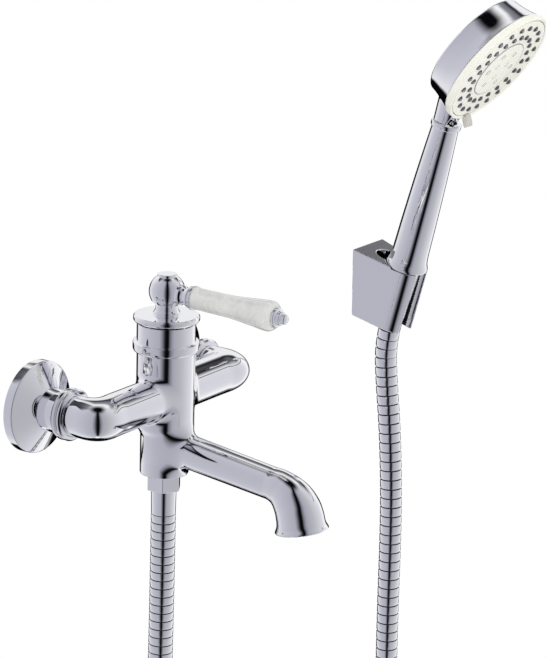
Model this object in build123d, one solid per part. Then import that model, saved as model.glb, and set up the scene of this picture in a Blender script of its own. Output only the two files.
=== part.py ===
from build123d import *
import math
import os

# Wall-mounted single-lever mixer with spout, shower hose, hand shower and wall holder.
# Millimetres. The origin is on the wall, midway between the two inlets. +X runs right along
# the wall, +Y goes into the wall and +Z is up, so the whole mixer stands at negative Y.

# Inlets and body
INLET_SPACING = 150.0
COLUMN_OUT = 54.5            # column axis to wall
COLUMN_R = 20.0              # upper column
STEM_R = 16.8                # lower column, under the step
STEP_TOP = -20.5
STEP_BOTTOM = -27.5
COLUMN_BOTTOM = -55.4
COLUMN_TOP = 31.5            # shoulder that carries the sleeve
SPIGOT_R = 17.4
SPIGOT_TOP = 40.0
ARM_R = 14.4
ARM_FILLET = 5.0
INLET_R = 13.8               # elbow end, at the union nut
ELBOW_END = 36.0             # elbow end face to wall
ELBOW_REACH = 18.5           # elbow pivot to pipe axis
ELBOW_OUTER = 38.5           # pivot to the rounded outer corner, on the diagonal
ELBOW_INNER = 4.5
WATERWAY_R = 8.5

# Spout
SPOUT_Z = -34.3
SPOUT_FALL = 6.3             # degrees below level
SPOUT_ROOT_R = 11.7
SPOUT_R = 11.3
SPOUT_STRAIGHT = 95.3        # column axis to the start of the bend
SPOUT_BEND_R = 20.8
SPOUT_TURN = 76.0            # degrees
SPOUT_NECK_R = 15.4
SPOUT_LIP_R = 18.3
SPOUT_LIP = 9.2              # length of the bell past the bend
SPOUT_BORE_R = 8.0
SPOUT_FILLET = 6.0
AERATOR_BORE_R = 13.0
AERATOR_DEPTH = 13.2

# Wall covers and unions
FLANGE_R = 31.5
FLANGE_RIM = 6.8
FLANGE_HEIGHT = 14.6
SLEEVE_R = 14.7
TAIL_R = 10.4                # G1/2 tail in the wall
TAIL_LENGTH = 14.0
TAIL_OFFSET = 5.0            # eccentric, so the spacing can be adjusted
UNION_NUT_R = 17.8
UNION_NUT_BACK = 28.0

# Cartridge
POCKET_R = 14.3
POCKET_FLOOR = 12.0
POCKET_STEP = 33.0
THREAD_R = 15.6
PIVOT_Z = 38.0               # lever pivot inside the cartridge
PIN_R = 1.25
STEM_ROD_R = 4.0
FIT = 0.05                   # radial running clearance
GAP = 0.3                    # clearance between bodies that move apart
BROKEN_EDGE = 1.5            # roundings under this are chamfers

# Cover and lever head
RING_R = 22.8
RING_TOP = 38.65
COVER_R = 20.2
COVER_TOP = 51.4
CAP_R = 22.7
CAP_BOTTOM = 52.7
CAP_TOP = 57.1
BEAD_R = 9.4
NECK_R = 7.7
BALL_Z = 73.3
BALL_R = 12.4
BUTTON_R = 6.6
BUTTON_TOP = 85.4
LEVER_DROOP = 1.0
LEVER_ROD_R = 2.5
GRIP_START = 24.0
GRIP_END = 90.4
LEVER_END = 100.0

# Shower outlet
NUT_FLATS = 21.5
NUT_BOTTOM = -67.5
FERRULE_BOTTOM = -85.3
NIPPLE_R = 10.0
DIVERTER_Z = -46.5
DIVERTER_SEAT = 15.3         # flat on the column's right side, from its axis

# Wall holder
HOLDER_X = 336.0
HOLDER_WIDTH = 41.0
HOLDER_FRONT_R = 16.4
LEAN = 14.4                  # socket axis, degrees off vertical
SEAT_OUT = 36.0              # socket mouth centre to wall
SEAT_Z = 17.0
HOLDER_TOP = 29.0            # at the wall
HOLDER_BOTTOM = -24.3
HOLDER_SLOPE = 16.5          # degrees, top and bottom faces fall to the front
SOCKET_TOP_R = 11.7
SOCKET_BOTTOM_R = 9.6
SLOT_TOP = 13.6
SLOT_BOTTOM = 18.4
PLATE_HOLES = (-10.0, 14.0)  # heights of the two screw holes in the wall plate

# Hand shower, along the leaning socket axis from the seat
COLLAR_R = 16.4
HANDLE_FOOT_R = 14.2
HANDLE_NECK_R = 10.45
HANDLE_LENGTH = 118.0
HEAD_OUT = 109.5             # face centre to wall
HEAD_Z = 182.0
HEAD_TILT = 34.3             # face normal, degrees below level
HEAD_R = 49.6                # spray face with its ring
SHELL_FRONT = -5.3           # front edge of the chrome shell, behind the face
SHELL_FRONT_R = 49.2
SHELL_BACK = -27.5
SHELL_BACK_R = 44.3
SHELL_BORE_R = 46.4
FACE_R = 46.8
CENTRE_R = 24.7
TAB_WIDTH = 7.5
NOZZLE_RINGS = ((40.2, 22), (31.3, 21))
NOZZLE_START = 84.0          # degrees round from +X
CONE_END = -42.0
HOSE_START = -46.0

# Hose
HOSE_R = 8.6
HOSE_GROOVE_R = 7.7
HOSE_BORE_R = 4.5
HOSE_RIBS = 50
HOSE_LENGTH = 1500.0

COLUMN = Pos(0, -COLUMN_OUT, 0)
LEVER = Plane(
    origin=(0, -COLUMN_OUT, BALL_Z - 0.5),
    x_dir=(1, 0, 0),
    z_dir=(0, -math.cos(math.radians(LEVER_DROOP)), -math.sin(math.radians(LEVER_DROOP))),
).location
LEAN_AXIS = Vector(0, -math.sin(math.radians(LEAN)), math.cos(math.radians(LEAN)))
SEAT = Plane(origin=(HOLDER_X, -SEAT_OUT, SEAT_Z), x_dir=(1, 0, 0), z_dir=tuple(LEAN_AXIS)).location
FACE_NORMAL = Vector(0, -math.cos(math.radians(HEAD_TILT)), -math.sin(math.radians(HEAD_TILT)))
HEAD = Plane(origin=(HOLDER_X, -HEAD_OUT, HEAD_Z), x_dir=(1, 0, 0), z_dir=tuple(FACE_NORMAL)).location


def inlet(side):
    # Local Z runs out of the wall along one inlet.
    return Plane(origin=(side * INLET_SPACING / 2, 0, 0), x_dir=(1, 0, 0), z_dir=(0, -1, 0)).location


def turned(*corners):
    # A turned solid about Z. Each corner is (radius, height) or (radius, height, rounding).
    # Small edges are broken with a chamfer and larger ones are rounded.
    points = [Vector(corner[0], 0, corner[1]) for corner in corners]
    section = make_face(Polyline(*points, close=True)).face()
    for corner, point in zip(corners, points):
        if len(corner) == 3:
            vertex = section.vertices().sort_by_distance(point)[0]
            if corner[2] < BROKEN_EDGE:
                section = section.chamfer_2d(corner[2] * 0.7, corner[2] * 0.7, [vertex])
            else:
                section = section.fillet_2d(corner[2], [vertex])
    return revolve(section, Axis.Z)


def tube(outer, inner, bottom, top):
    return turned((inner, bottom), (outer, bottom), (outer, top), (inner, top))


def rod(radius, bottom, top):
    return turned((0, bottom), (radius, bottom), (radius, top), (0, top))


def cross_rod(radius, start, end, height):
    # A rod along X at the given height.
    return Pos(0, 0, height) * Rot(0, 90, 0) * rod(radius, start, end)


def disc_face(radius, plane):
    return plane * Circle(radius)


def elbow(side):
    # The pipe is fatter round the tight corner, so ellipses turn about a pivot near its inner side.
    pivot_x = INLET_SPACING / 2 - ELBOW_REACH
    shape = (
        (0.0, ELBOW_REACH - INLET_R, ELBOW_REACH + INLET_R, INLET_R),
        (22.5, 4.7, 34.9, 14.0),
        (45.0, ELBOW_INNER, ELBOW_OUTER, 14.3),
        (67.5, 4.6, 35.1, 14.4),
        (90.0, ELBOW_REACH - ARM_R, ELBOW_REACH + ARM_R, ARM_R),
    )
    sections = []
    for turn, inner, outer, height in shape:
        out = Vector(math.cos(math.radians(turn)), -math.sin(math.radians(turn)), 0)
        along = Vector(-math.sin(math.radians(turn)), -math.cos(math.radians(turn)), 0)
        centre = Vector(pivot_x, -ELBOW_END, 0) + out * ((inner + outer) / 2)
        plane = Plane(origin=centre, x_dir=out, z_dir=along)
        sections.append(plane * Ellipse((outer - inner) / 2, height))
    corner = loft(sections)
    return corner if side > 0 else mirror(corner, Plane.YZ)


def spout_station(distance):
    # Centre and direction of the spout axis at a distance from the column axis, in the YZ plane.
    fall = math.radians(SPOUT_FALL)
    start = Vector(0, -COLUMN_OUT - SPOUT_STRAIGHT, SPOUT_Z - SPOUT_STRAIGHT * math.tan(fall))
    straight = SPOUT_STRAIGHT / math.cos(fall)
    if distance <= straight:
        direction = Vector(0, -math.cos(fall), -math.sin(fall))
        return start + direction * (distance - straight), direction
    turn = min(math.radians(SPOUT_TURN), (distance - straight) / SPOUT_BEND_R)
    angle = fall + turn
    centre = start + Vector(0, math.sin(fall), -math.cos(fall)) * SPOUT_BEND_R
    direction = Vector(0, -math.cos(angle), -math.sin(angle))
    point = centre + Vector(0, -math.sin(angle), math.cos(angle)) * SPOUT_BEND_R
    beyond = distance - straight - turn * SPOUT_BEND_R
    return point + direction * beyond, direction


SPOUT_BEND_START = SPOUT_STRAIGHT / math.cos(math.radians(SPOUT_FALL))
SPOUT_BEND_END = SPOUT_BEND_START + SPOUT_BEND_R * math.radians(SPOUT_TURN)


def spout_plane(distance):
    point, direction = spout_station(distance)
    return Plane(origin=point, x_dir=(1, 0, 0), z_dir=direction)


MOUTH = spout_plane(SPOUT_BEND_END).location


def spout_outer():
    bend = SPOUT_BEND_END - SPOUT_BEND_START
    stations = (
        (4.0, SPOUT_ROOT_R),
        (SPOUT_BEND_START * 0.5, SPOUT_R + 0.2),
        (SPOUT_BEND_START, SPOUT_R),
        (SPOUT_BEND_START + bend * 0.25, SPOUT_R + 0.9),
        (SPOUT_BEND_START + bend * 0.5, SPOUT_R + 2.2),
        (SPOUT_BEND_START + bend * 0.75, SPOUT_R + 3.4),
        (SPOUT_BEND_END, SPOUT_NECK_R),
    )
    straight = loft([disc_face(radius, spout_plane(at)) for at, radius in stations[:3]], ruled=True)
    bend = loft([disc_face(radius, spout_plane(at)) for at, radius in stations[2:]])
    bell = turned(
        (0, 0),
        (SPOUT_NECK_R, 0),
        (SPOUT_NECK_R + 0.3, 4.2, 3.0),
        (SPOUT_LIP_R, 7.2, 0.8),
        (SPOUT_LIP_R, SPOUT_LIP, 0.6),
        (0, SPOUT_LIP),
    )
    return straight + bend + MOUTH * bell


def spout_bore():
    path = Wire([
        Edge.make_line(spout_station(6.0)[0], spout_station(SPOUT_BEND_START)[0]),
        ThreePointArc(
            spout_station(SPOUT_BEND_START)[0],
            spout_station((SPOUT_BEND_START + SPOUT_BEND_END) / 2)[0],
            spout_station(SPOUT_BEND_END)[0],
        ).edge(),
    ])
    return sweep(disc_face(SPOUT_BORE_R, spout_plane(6.0)), path=path)


def main_body():
    lower = turned((0, COLUMN_BOTTOM), (STEM_R, COLUMN_BOTTOM, 0.8), (STEM_R, 0), (0, 0))
    upper = turned(
        (0, STEP_BOTTOM),
        (STEM_R, STEP_BOTTOM, 2.5),
        (COLUMN_R, STEP_TOP, 2.5),
        (COLUMN_R, COLUMN_TOP),
        (SPIGOT_R, COLUMN_TOP),
        (SPIGOT_R, SPIGOT_TOP),
        (0, SPIGOT_TOP),
    )
    arm_end = INLET_SPACING / 2 - ELBOW_REACH
    arms = COLUMN * cross_rod(ARM_R, -arm_end, arm_end, 0)
    trunk = COLUMN * upper + arms
    joints = [
        edge
        for edge in trunk.edges()
        if 5 < abs(edge.center().X) < COLUMN_R and abs(edge.center().Z) < ARM_R + 1
        and edge.geom_type != GeomType.LINE
    ]
    trunk = fillet(joints, ARM_FILLET)
    foot = COLUMN * lower + spout_outer()
    roots = [
        edge
        for edge in foot.edges()
        if -COLUMN_OUT - STEM_R - 1 < edge.center().Y < -COLUMN_OUT - 2
        and SPOUT_Z - SPOUT_ROOT_R - 3 < edge.center().Z < SPOUT_Z + SPOUT_ROOT_R
        and edge.geom_type != GeomType.LINE
    ]
    foot = fillet(roots, SPOUT_FILLET)
    casting = trunk + foot + elbow(1) + elbow(-1)
    # Waterways: two inlets up to the cartridge floor, one outlet down to the lower chamber
    for side in (-1, 1):
        casting -= COLUMN * cross_rod(WATERWAY_R, side * 6, side * (arm_end + ELBOW_REACH), 0)
        casting -= inlet(side) * rod(WATERWAY_R, ELBOW_END - 1, COLUMN_OUT)
        casting -= inlet(side) * rod(10.5, ELBOW_END - 1, ELBOW_END + 8)
        casting -= COLUMN * Pos(side * 8, 0, 0) * rod(3, 0, POCKET_FLOOR + 1)
    casting -= COLUMN * rod(3, -14, POCKET_FLOOR + 1)
    casting -= COLUMN * rod(11, -50, -13)
    casting -= COLUMN * rod(9.2, COLUMN_BOTTOM - 1, -49)
    casting -= COLUMN * rod(POCKET_R, POCKET_FLOOR, SPIGOT_TOP + 1)
    casting -= COLUMN * rod(THREAD_R, POCKET_STEP, SPIGOT_TOP + 1)
    casting -= COLUMN * cross_rod(7.0, 0, COLUMN_R, DIVERTER_Z)
    casting -= COLUMN * cross_rod(8.0, DIVERTER_SEAT, COLUMN_R, DIVERTER_Z)
    casting -= spout_bore()
    casting -= MOUTH * rod(AERATOR_BORE_R, SPOUT_LIP - AERATOR_DEPTH, SPOUT_LIP + 1)
    return casting


def wall_flange(side):
    outer = turned(
        (13.0, 2),
        (13.0, FLANGE_HEIGHT),
        (SLEEVE_R + 0.2, FLANGE_HEIGHT),
        (SLEEVE_R + 0.2, FLANGE_HEIGHT - 0.4),
        (FLANGE_R - 1.2, FLANGE_RIM + 0.4),
        (FLANGE_R, FLANGE_RIM, 1.0),
        (FLANGE_R, 0),
        (FLANGE_R - 1.6, 0),
        (FLANGE_R - 1.8, FLANGE_RIM - 1.2),
        (16.6, FLANGE_HEIGHT - 3),
        (16.6, 2),
    )
    return inlet(side) * (outer - rod(14.45, 0, FLANGE_HEIGHT + 1))


def wall_union(side):
    # The threaded tail sits off-centre in the wall, so turning it adjusts the spacing.
    body = turned(
        (0, 1),
        (14.3, 1),
        (14.3, FLANGE_HEIGHT),
        (SLEEVE_R, FLANGE_HEIGHT),
        (SLEEVE_R, 30),
        (0, 30),
    )
    tail = Pos(0, -TAIL_OFFSET, 0) * rod(TAIL_R, -TAIL_LENGTH, 1)
    body = body + Pos(0, -TAIL_OFFSET / 2, 0) * rod(13.4, -0.5, 1) + tail
    body -= rod(8.5, 12, 31)
    body -= rod(9.4, 29, 31)
    body -= Pos(0, -TAIL_OFFSET / 2, 0) * rod(6.5, 4, 13)
    body -= Pos(0, -TAIL_OFFSET, 0) * rod(7, -TAIL_LENGTH - 1, 5)
    return inlet(side) * body


def union_nut(side):
    # Two rings with a groove between them, and a front wall that pulls on the nipple's collar.
    nut = turned(
        (SLEEVE_R + 0.1, UNION_NUT_BACK),
        (UNION_NUT_R - 0.8, UNION_NUT_BACK),
        (UNION_NUT_R, UNION_NUT_BACK + 1.8, 1.2),
        (UNION_NUT_R - 0.8, UNION_NUT_BACK + 3.6),
        (UNION_NUT_R - 1.4, UNION_NUT_BACK + 4),
        (UNION_NUT_R - 0.8, UNION_NUT_BACK + 4.4),
        (UNION_NUT_R, UNION_NUT_BACK + 6.2, 1.2),
        (UNION_NUT_R - 1.2, ELBOW_END - 0.1),
        (12.3, ELBOW_END - 0.1),
        (12.3, 33.3),
        (SLEEVE_R + 0.1, 33.3),
    )
    return inlet(side) * nut


def inlet_nipple(side):
    return inlet(side) * turned((7.5, 31.5), (13.9, 31.5), (13.9, 33.3), (12, 33.3), (12, ELBOW_END),
                                (10.5, ELBOW_END), (10.5, ELBOW_END + 8), (7.5, ELBOW_END + 8))


def union_seal(side):
    return inlet(side) * tube(13.5, 8.8, 30, 31.5)


def inlet_filter(side):
    # A strainer plate with square holes, seated in the end of the union.
    plate = rod(9.3, 29, 30)
    holes = GridLocations(3.4, 3.4, 4, 4)
    for hole in holes:
        if hole.position.length < 7:
            plate -= hole * Pos(0, 0, 29.5) * Box(2.2, 2.2, 2)
    return inlet(side) * plate


def cartridge_body():
    shell = turned(
        (0, 13.5),
        (14.1, 13.5),
        (14.1, POCKET_STEP),
        (15.4, POCKET_STEP),
        (15.4, POCKET_STEP + 1.5),
        (10.8, POCKET_STEP + 1.5),
        (10.8, 43),
        (0, 43),
    )
    shell -= rod(12.2, 15, 27.5)
    shell -= rod(9.6, 27, 44)
    shell -= rod(3, 13, 16)
    for side in (-1, 1):
        shell -= Pos(side * 8, 0, 0) * rod(3, 13, 16)
    return COLUMN * shell


def cartridge_seals():
    seal = tube(3.9, 3.0, POCKET_FLOOR, 13.5)
    return Compound(children=[COLUMN * Pos(x, 0, 0) * seal for x in (-8, 0, 8)])


def ceramic_disc_fixed():
    disc = rod(12.0, 15, 18)
    for x in (-8, 0, 8):
        disc -= Pos(x, 0, 0) * rod(2.8, 14, 19)
    return COLUMN * disc


def ceramic_disc_moving():
    # A blind pocket in the underside joins the inlet ports to the outlet port.
    disc = rod(9.0, 18 + FIT, 21)
    return COLUMN * (disc - Pos(0, 0, 18) * Box(13, 7, 3))


def disc_carrier():
    return COLUMN * turned((3.0, 22.2), (3.0, 25.5), (9.0, 25.5), (9.0, 21), (0, 21), (0, 22.2))


def cartridge_collar():
    collar = turned((0, 26), (11.8, 26), (11.8, 27.2), (9.55, 27.2), (9.55, 43), (0, 43))
    collar -= Pos(0, -0.6, 34.5) * Box(9.0, 14.5, 20)
    return COLUMN * (collar - cross_rod(PIN_R, -10, 10, PIVOT_Z))


def stem_pin():
    return COLUMN * cross_rod(PIN_R, -9.0, 9.0, PIVOT_Z)


def cartridge_stem():
    # A round rod with a ball tip below, a squared top and a cross hole for the pivot pin.
    tip = Pos(0, 0, 25.0) * Sphere(2.6)
    stem = rod(2.0, 25, 29) + rod(STEM_ROD_R, 28.5, 60) + tip
    square = Pos(0, 0, 60) * Box(6.4, 6.4, 12)
    stem = stem + square
    return COLUMN * (stem - cross_rod(PIN_R + FIT, -10, 10, PIVOT_Z))


def cartridge_nut():
    nut = tube(15.5, 10.9, POCKET_STEP + 1.5, 41)
    for angle in (0, 90):
        nut -= Rot(0, 0, angle) * Pos(0, 0, 41) * Box(3, 40, 4)
    return COLUMN * nut


def cartridge_cover():
    # The ring and sleeve that hide the cartridge nut. Its top falls away under the tilting cap.
    slope = math.tan(math.radians(12))
    return COLUMN * turned(
        (SPIGOT_R + 0.1, COLUMN_TOP),
        (RING_R, COLUMN_TOP, 2.6),
        (RING_R, RING_TOP, 2.6),
        (COVER_R, RING_TOP),
        (COVER_R, COVER_TOP, 0.5),
        (12.0, COVER_TOP + (COVER_R - 12.0) * slope),
        (12.0, COVER_TOP - 0.4),
        (SPIGOT_R + 0.1, COVER_TOP - 2),
    )


def handle_head():
    # Flat cap, beaded neck and ball in one piece, hollow under the cap.
    cap = turned(
        (0, CAP_BOTTOM),
        (CAP_R - 0.9, CAP_BOTTOM),
        (CAP_R, CAP_BOTTOM + 1.2, 0.9),
        (CAP_R, CAP_TOP - 1.2, 0.9),
        (CAP_R - 1.0, CAP_TOP),
        (7.6, CAP_TOP),
        (BEAD_R, 58.4, 0.9),
        (8.0, 60.6, 0.5),
        (NECK_R, 62.6, 2.0),
        (8.6, 67),
        (0, 67),
    )
    ball = Pos(0, 0, BALL_Z) * Sphere(BALL_R)
    ball -= Pos(0, 0, 83.8 + 5) * Box(30, 30, 10)
    ball -= rod(3, 81.5, 84)
    head = cap + ball
    head -= rod(CAP_R - 1.4, CAP_BOTTOM - 1, CAP_TOP - 1.0)
    head -= Pos(0, 0, 60) * Box(6.4, 6.4, 12)
    head -= rod(STEM_ROD_R + 0.1, 50, 60)
    head -= Pos(0, 0, 62) * Rot(-90, 0, 0) * rod(2.0, 3.2, 20)
    head = COLUMN * head
    return head - LEVER * rod(LEVER_ROD_R, 4, 20)


def top_button():
    rim = (BUTTON_R, BUTTON_TOP, 0.5)
    return COLUMN * turned((0, 82), (3, 82), (3, 83.8), (BUTTON_R, 83.8), rim, (0, BUTTON_TOP))


def grub_screw():
    screw = rod(2.0, 3.2, 7.0) - Pos(0, 0, 7) * Box(0.6, 5, 2)
    return COLUMN * Pos(0, 0, 62) * Rot(-90, 0, 0) * screw


def lever_boss():
    # The boss meets the ball in a hollow cut to the ball's radius.
    boss = turned(
        (LEVER_ROD_R, 8.0),
        (7.0, 8.0),
        (6.3, 17.5),
        (6.3, 18.6),
        (8.2, 19.2, 0.5),
        (8.2, 21.2, 0.5),
        (7.2, 21.6),
        (8.3, 22.0, 0.5),
        (8.3, GRIP_START, 0.5),
        (LEVER_ROD_R, GRIP_START),
    )
    return LEVER * boss - COLUMN * Pos(0, 0, BALL_Z) * Sphere(BALL_R)


def lever_rod():
    return LEVER * rod(LEVER_ROD_R, 4, LEVER_END - 3)


def ceramic_grip():
    waist = (7.8, 55)
    outline = Polyline((LEVER_ROD_R, 0, GRIP_END), (LEVER_ROD_R, 0, GRIP_START), (7.4, 0, GRIP_START))
    side = Spline(
        (7.4, 0, GRIP_START),
        (7.5, 0, 40),
        (waist[0], 0, waist[1]),
        (9.2, 0, 71),
        (10.3, 0, 83.5),
        (9.6, 0, 88),
        (8.1, 0, GRIP_END),
    )
    end = Line((8.1, 0, GRIP_END), (LEVER_ROD_R, 0, GRIP_END))
    return LEVER * revolve(make_face(outline.edges() + side.edges() + end.edges()), Axis.Z)


def lever_finial():
    finial = turned(
        (LEVER_ROD_R, GRIP_END),
        (7.4, GRIP_END, 0.4),
        (7.4, 92.6, 0.6),
        (5.4, 93.2),
        (5.4, 95.8, 0.6),
        (3.9, 96.4),
        (3.9, 99.0, 1.2),
        (1.5, LEVER_END),
        (0, LEVER_END),
        (0, LEVER_END - 3),
        (LEVER_ROD_R, LEVER_END - 3),
    )
    return LEVER * finial


def aerator_shell():
    return MOUTH * turned((11.2, -3), (AERATOR_BORE_R, -3), (AERATOR_BORE_R, SPOUT_LIP - 0.8),
                          (10.6, SPOUT_LIP - 0.8), (10.6, SPOUT_LIP - 2.2), (11.2, SPOUT_LIP - 2.2))


def aerator_insert():
    # Plastic insert with a square mesh that shows in the mouth.
    insert = rod(11.1, 1.0, SPOUT_LIP - 2.2)
    for hole in GridLocations(3.0, 3.0, 6, 6):
        if hole.position.length < 8.6:
            insert -= hole * Pos(0, 0, SPOUT_LIP - 2.2) * Box(2.3, 2.3, 3.0)
    return MOUTH * insert


def aerator_seal():
    return MOUTH * tube(12.8, 10.4, -4, -3)


def shower_nipple():
    return COLUMN * turned(
        (6.6, -64),
        (NIPPLE_R, -64),
        (NIPPLE_R, COLUMN_BOTTOM),
        (9.2, COLUMN_BOTTOM),
        (9.2, -50),
        (5.0, -50),
        (5.0, -51),
        (6.6, -51),
    )


def check_valve():
    body = tube(6.5, 4.6, -63.5, -51.2) + tube(5.6, 2.0, -59, -57.5)
    return COLUMN * (body + rod(2.0, -60.5, -54) + rod(4.0, -56.6, -55.4))


def hose_nut():
    nut = extrude(Pos(0, 0, NUT_BOTTOM) * RegularPolygon(NUT_FLATS / 2, 6, major_radius=False, rotation=15),
                  COLUMN_BOTTOM - 0.1 - NUT_BOTTOM)
    nut &= turned((0, NUT_BOTTOM), (11.2, NUT_BOTTOM), (12.5, NUT_BOTTOM + 0.9),
                  (12.5, COLUMN_BOTTOM - 1.0), (11.2, COLUMN_BOTTOM - 0.1), (0, COLUMN_BOTTOM - 0.1))
    nut -= rod(NIPPLE_R + 0.1, -66.2, COLUMN_BOTTOM + 1)
    nut -= rod(7.6, NUT_BOTTOM - 1, -66)
    return COLUMN * nut


def hose_washer_tap():
    return COLUMN * tube(9.4, 5.0, -65.4, -64)


def hose_ferrule_tap():
    return COLUMN * turned(
        (5.0, -65.4),
        (9.4, -65.4),
        (9.4, -66.2),
        (7.4, -66.2),
        (7.4, NUT_BOTTOM),
        (8.8, NUT_BOTTOM, 0.4),
        (8.5, FERRULE_BOTTOM, 0.4),
        (5.0, FERRULE_BOTTOM),
    )


def diverter_bush():
    bush = turned((2.5 + FIT, 10.5), (7.0, 10.5), (7.0, DIVERTER_SEAT), (7.9, DIVERTER_SEAT),
                  (7.9, 18.7), (2.5 + FIT, 18.7))
    return COLUMN * Pos(0, 0, DIVERTER_Z) * Rot(0, 90, 0) * (bush - tube(4.0, 2.0, 12, 15))


def diverter_seal():
    return COLUMN * Pos(0, 0, DIVERTER_Z) * Rot(0, 90, 0) * tube(4.0, 2.5 + FIT, 12, 14.9)


def diverter_spindle():
    return COLUMN * cross_rod(2.5, -6.0, 27.0, DIVERTER_Z)


def diverter_disc():
    return COLUMN * Pos(0, 0, DIVERTER_Z) * Rot(0, 90, 0) * tube(3.0, 2.5, -6.0, -3.0)


def diverter_knob():
    knob = turned((0, 19), (5.2, 19), (5.2, 21), (6.6, 22, 0.5), (6.6, 29.5, 1.2), (0, 30.8))
    return COLUMN * Pos(0, 0, DIVERTER_Z) * Rot(0, 90, 0) * (knob - rod(2.5, 18, 27))


def holder_block():
    # One leaning prism: a round front, sides that spread to the wall, sloped top and bottom faces.
    spread = HOLDER_WIDTH / 2
    round_end = Circle(HOLDER_FRONT_R)
    back = Pos(0, 60, 0) * Rectangle(2 * (spread + 2.3), 1)
    outline = make_hull(round_end.edges() + back.edges())
    prism = SEAT * extrude(outline, 120, both=True)
    slope = math.tan(math.radians(HOLDER_SLOPE))
    side_view = Polyline(
        (HOLDER_X, 0, HOLDER_BOTTOM),
        (HOLDER_X, 0, HOLDER_TOP),
        (HOLDER_X, -80, HOLDER_TOP - 80 * slope),
        (HOLDER_X, -80, HOLDER_BOTTOM - 80 * slope),
        close=True,
    )
    block = prism & extrude(make_face(side_view), HOLDER_WIDTH, both=True, dir=(1, 0, 0))
    rims = block.edges().filter_by(lambda edge: edge.center().Y < -1)
    block = fillet(rims, 1.2)
    # Seat, conical socket, front slot that widens downwards, and the well behind the socket
    block -= SEAT * rod(COLLAR_R + 0.6, 0, 20)
    block -= SEAT * turned((0, CONE_END), (SOCKET_BOTTOM_R, CONE_END), (SOCKET_TOP_R, 1), (0, 1))
    block -= SEAT * rod(SOCKET_BOTTOM_R, -90, CONE_END + 1)
    slot = Polyline((-SLOT_BOTTOM / 2, 0, -60), (SLOT_BOTTOM / 2, 0, -60), (SLOT_TOP / 2, 0, 5),
                    (-SLOT_TOP / 2, 0, 5), close=True)
    block -= SEAT * extrude(make_face(slot), 30, dir=(0, -1, 0))
    block -= Pos(HOLDER_X, -18.1, 0) * rod(8.5, 10, 40)
    # Pocket for the wall plate, room for its two screw heads, and the hole of its locking screw
    block -= Pos(HOLDER_X, -2, 2) * Box(26, 4.01, 38)
    for z in PLATE_HOLES:
        block -= Pos(HOLDER_X, 0, z) * Rot(90, 0, 0) * rod(4.3, 3, 8)
    block -= Pos(HOLDER_X, -5, -40) * rod(2.0, 0, 30)
    return block


def holder_plate():
    plate = Pos(HOLDER_X, -1.8, 2) * Box(25.6, 3.6, 37.6)
    for z in PLATE_HOLES:
        plate -= Pos(HOLDER_X, 0, z) * Rot(90, 0, 0) * rod(2.2, -1, 5)
    return plate


def holder_grub():
    return Pos(HOLDER_X, -5, 0) * rod(2.0, -25.6, -17.0)


def handle():
    side = Spline((HANDLE_FOOT_R, 0, 6.0), (13.6, 0, 40), (12.3, 0, 80), (HANDLE_NECK_R, 0, HANDLE_LENGTH))
    outline = Polyline(
        (HANDLE_NECK_R, 0, HANDLE_LENGTH),
        (0, 0, HANDLE_LENGTH),
        (0, 0, -9),
        (9.8, 0, -9),
        (9.8, 0, GAP),
        (COLLAR_R - 0.6, 0, GAP),
        (COLLAR_R, 0, 1.0),
        (COLLAR_R, 0, 3.4),
        (COLLAR_R - 0.8, 0, 4.4),
        (HANDLE_FOOT_R, 0, 6.0),
    )
    body = revolve(make_face(outline.edges() + side.edges()), Axis.Z)
    return SEAT * (body - rod(6.0, -10, HANDLE_LENGTH + 1))


def neck_ring():
    return SEAT * turned((8.0, HANDLE_LENGTH), (11.7, HANDLE_LENGTH, 1.2), (11.7, HANDLE_LENGTH + 5, 1.2),
                         (8.0, HANDLE_LENGTH + 5))


def head_shell():
    # A drum that narrows to a crisp back edge, a shallow dome behind it, and the neck from below.
    drum = turned(
        (0, SHELL_BACK - 3.5),
        (28, SHELL_BACK - 2.6, 30),
        (SHELL_BACK_R, SHELL_BACK),
        (SHELL_FRONT_R - 2.2, -15, 40),
        (SHELL_FRONT_R, SHELL_FRONT),
        (SHELL_BORE_R, SHELL_FRONT),
        (SHELL_BORE_R, -12),
        (43.6, -12),
        (42.0, SHELL_BACK + 2.5),
        (0, SHELL_BACK + 0.5),
    )
    neck = SEAT * turned((0, HANDLE_LENGTH + 5), (10.4, HANDLE_LENGTH + 5), (11.0, HANDLE_LENGTH + 27),
                         (0, HANDLE_LENGTH + 27))
    inside = rod(43.6, SHELL_BACK + 2.0, 5) + rod(SHELL_BORE_R, -12, 5) + rod(HEAD_R + GAP, SHELL_FRONT, 9)
    shell = HEAD * drum + (neck - HEAD * inside)
    return shell - SEAT * rod(6.0, HANDLE_LENGTH, HANDLE_LENGTH + 21)


def waterway_insert():
    # Carrier that feeds the two nozzle rings through an annular channel.
    insert = turned((0, -12), (46.2, -12), (46.2, -8), (43, -8), (43, -10), (28, -10), (28, -8), (23, -8),
                    (23, -10), (0, -10))
    return HEAD * insert


def face_plate():
    plate = turned((CENTRE_R + 0.2, -5), (43.2, -5), (43.2, -8), (46.2, -8), (46.2, -5), (FACE_R, -5),
                   (FACE_R, 0, 0.4), (CENTRE_R + 0.2, 0))
    for radius, count in NOZZLE_RINGS:
        for hole in PolarLocations(radius, count, start_angle=NOZZLE_START):
            plate -= hole * Pos(0, 0, -2.5) * Box(3.4, 3.4, 6)
    return HEAD * plate


def nozzle_mat():
    mat = tube(43.0, 28.0, -8, -5)
    for radius, count in NOZZLE_RINGS:
        for place in PolarLocations(radius, count, start_angle=NOZZLE_START):
            mat += place * Pos(0, 0, -2.1) * Box(3.4, 3.4, 6.0)
    return HEAD * mat


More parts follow.
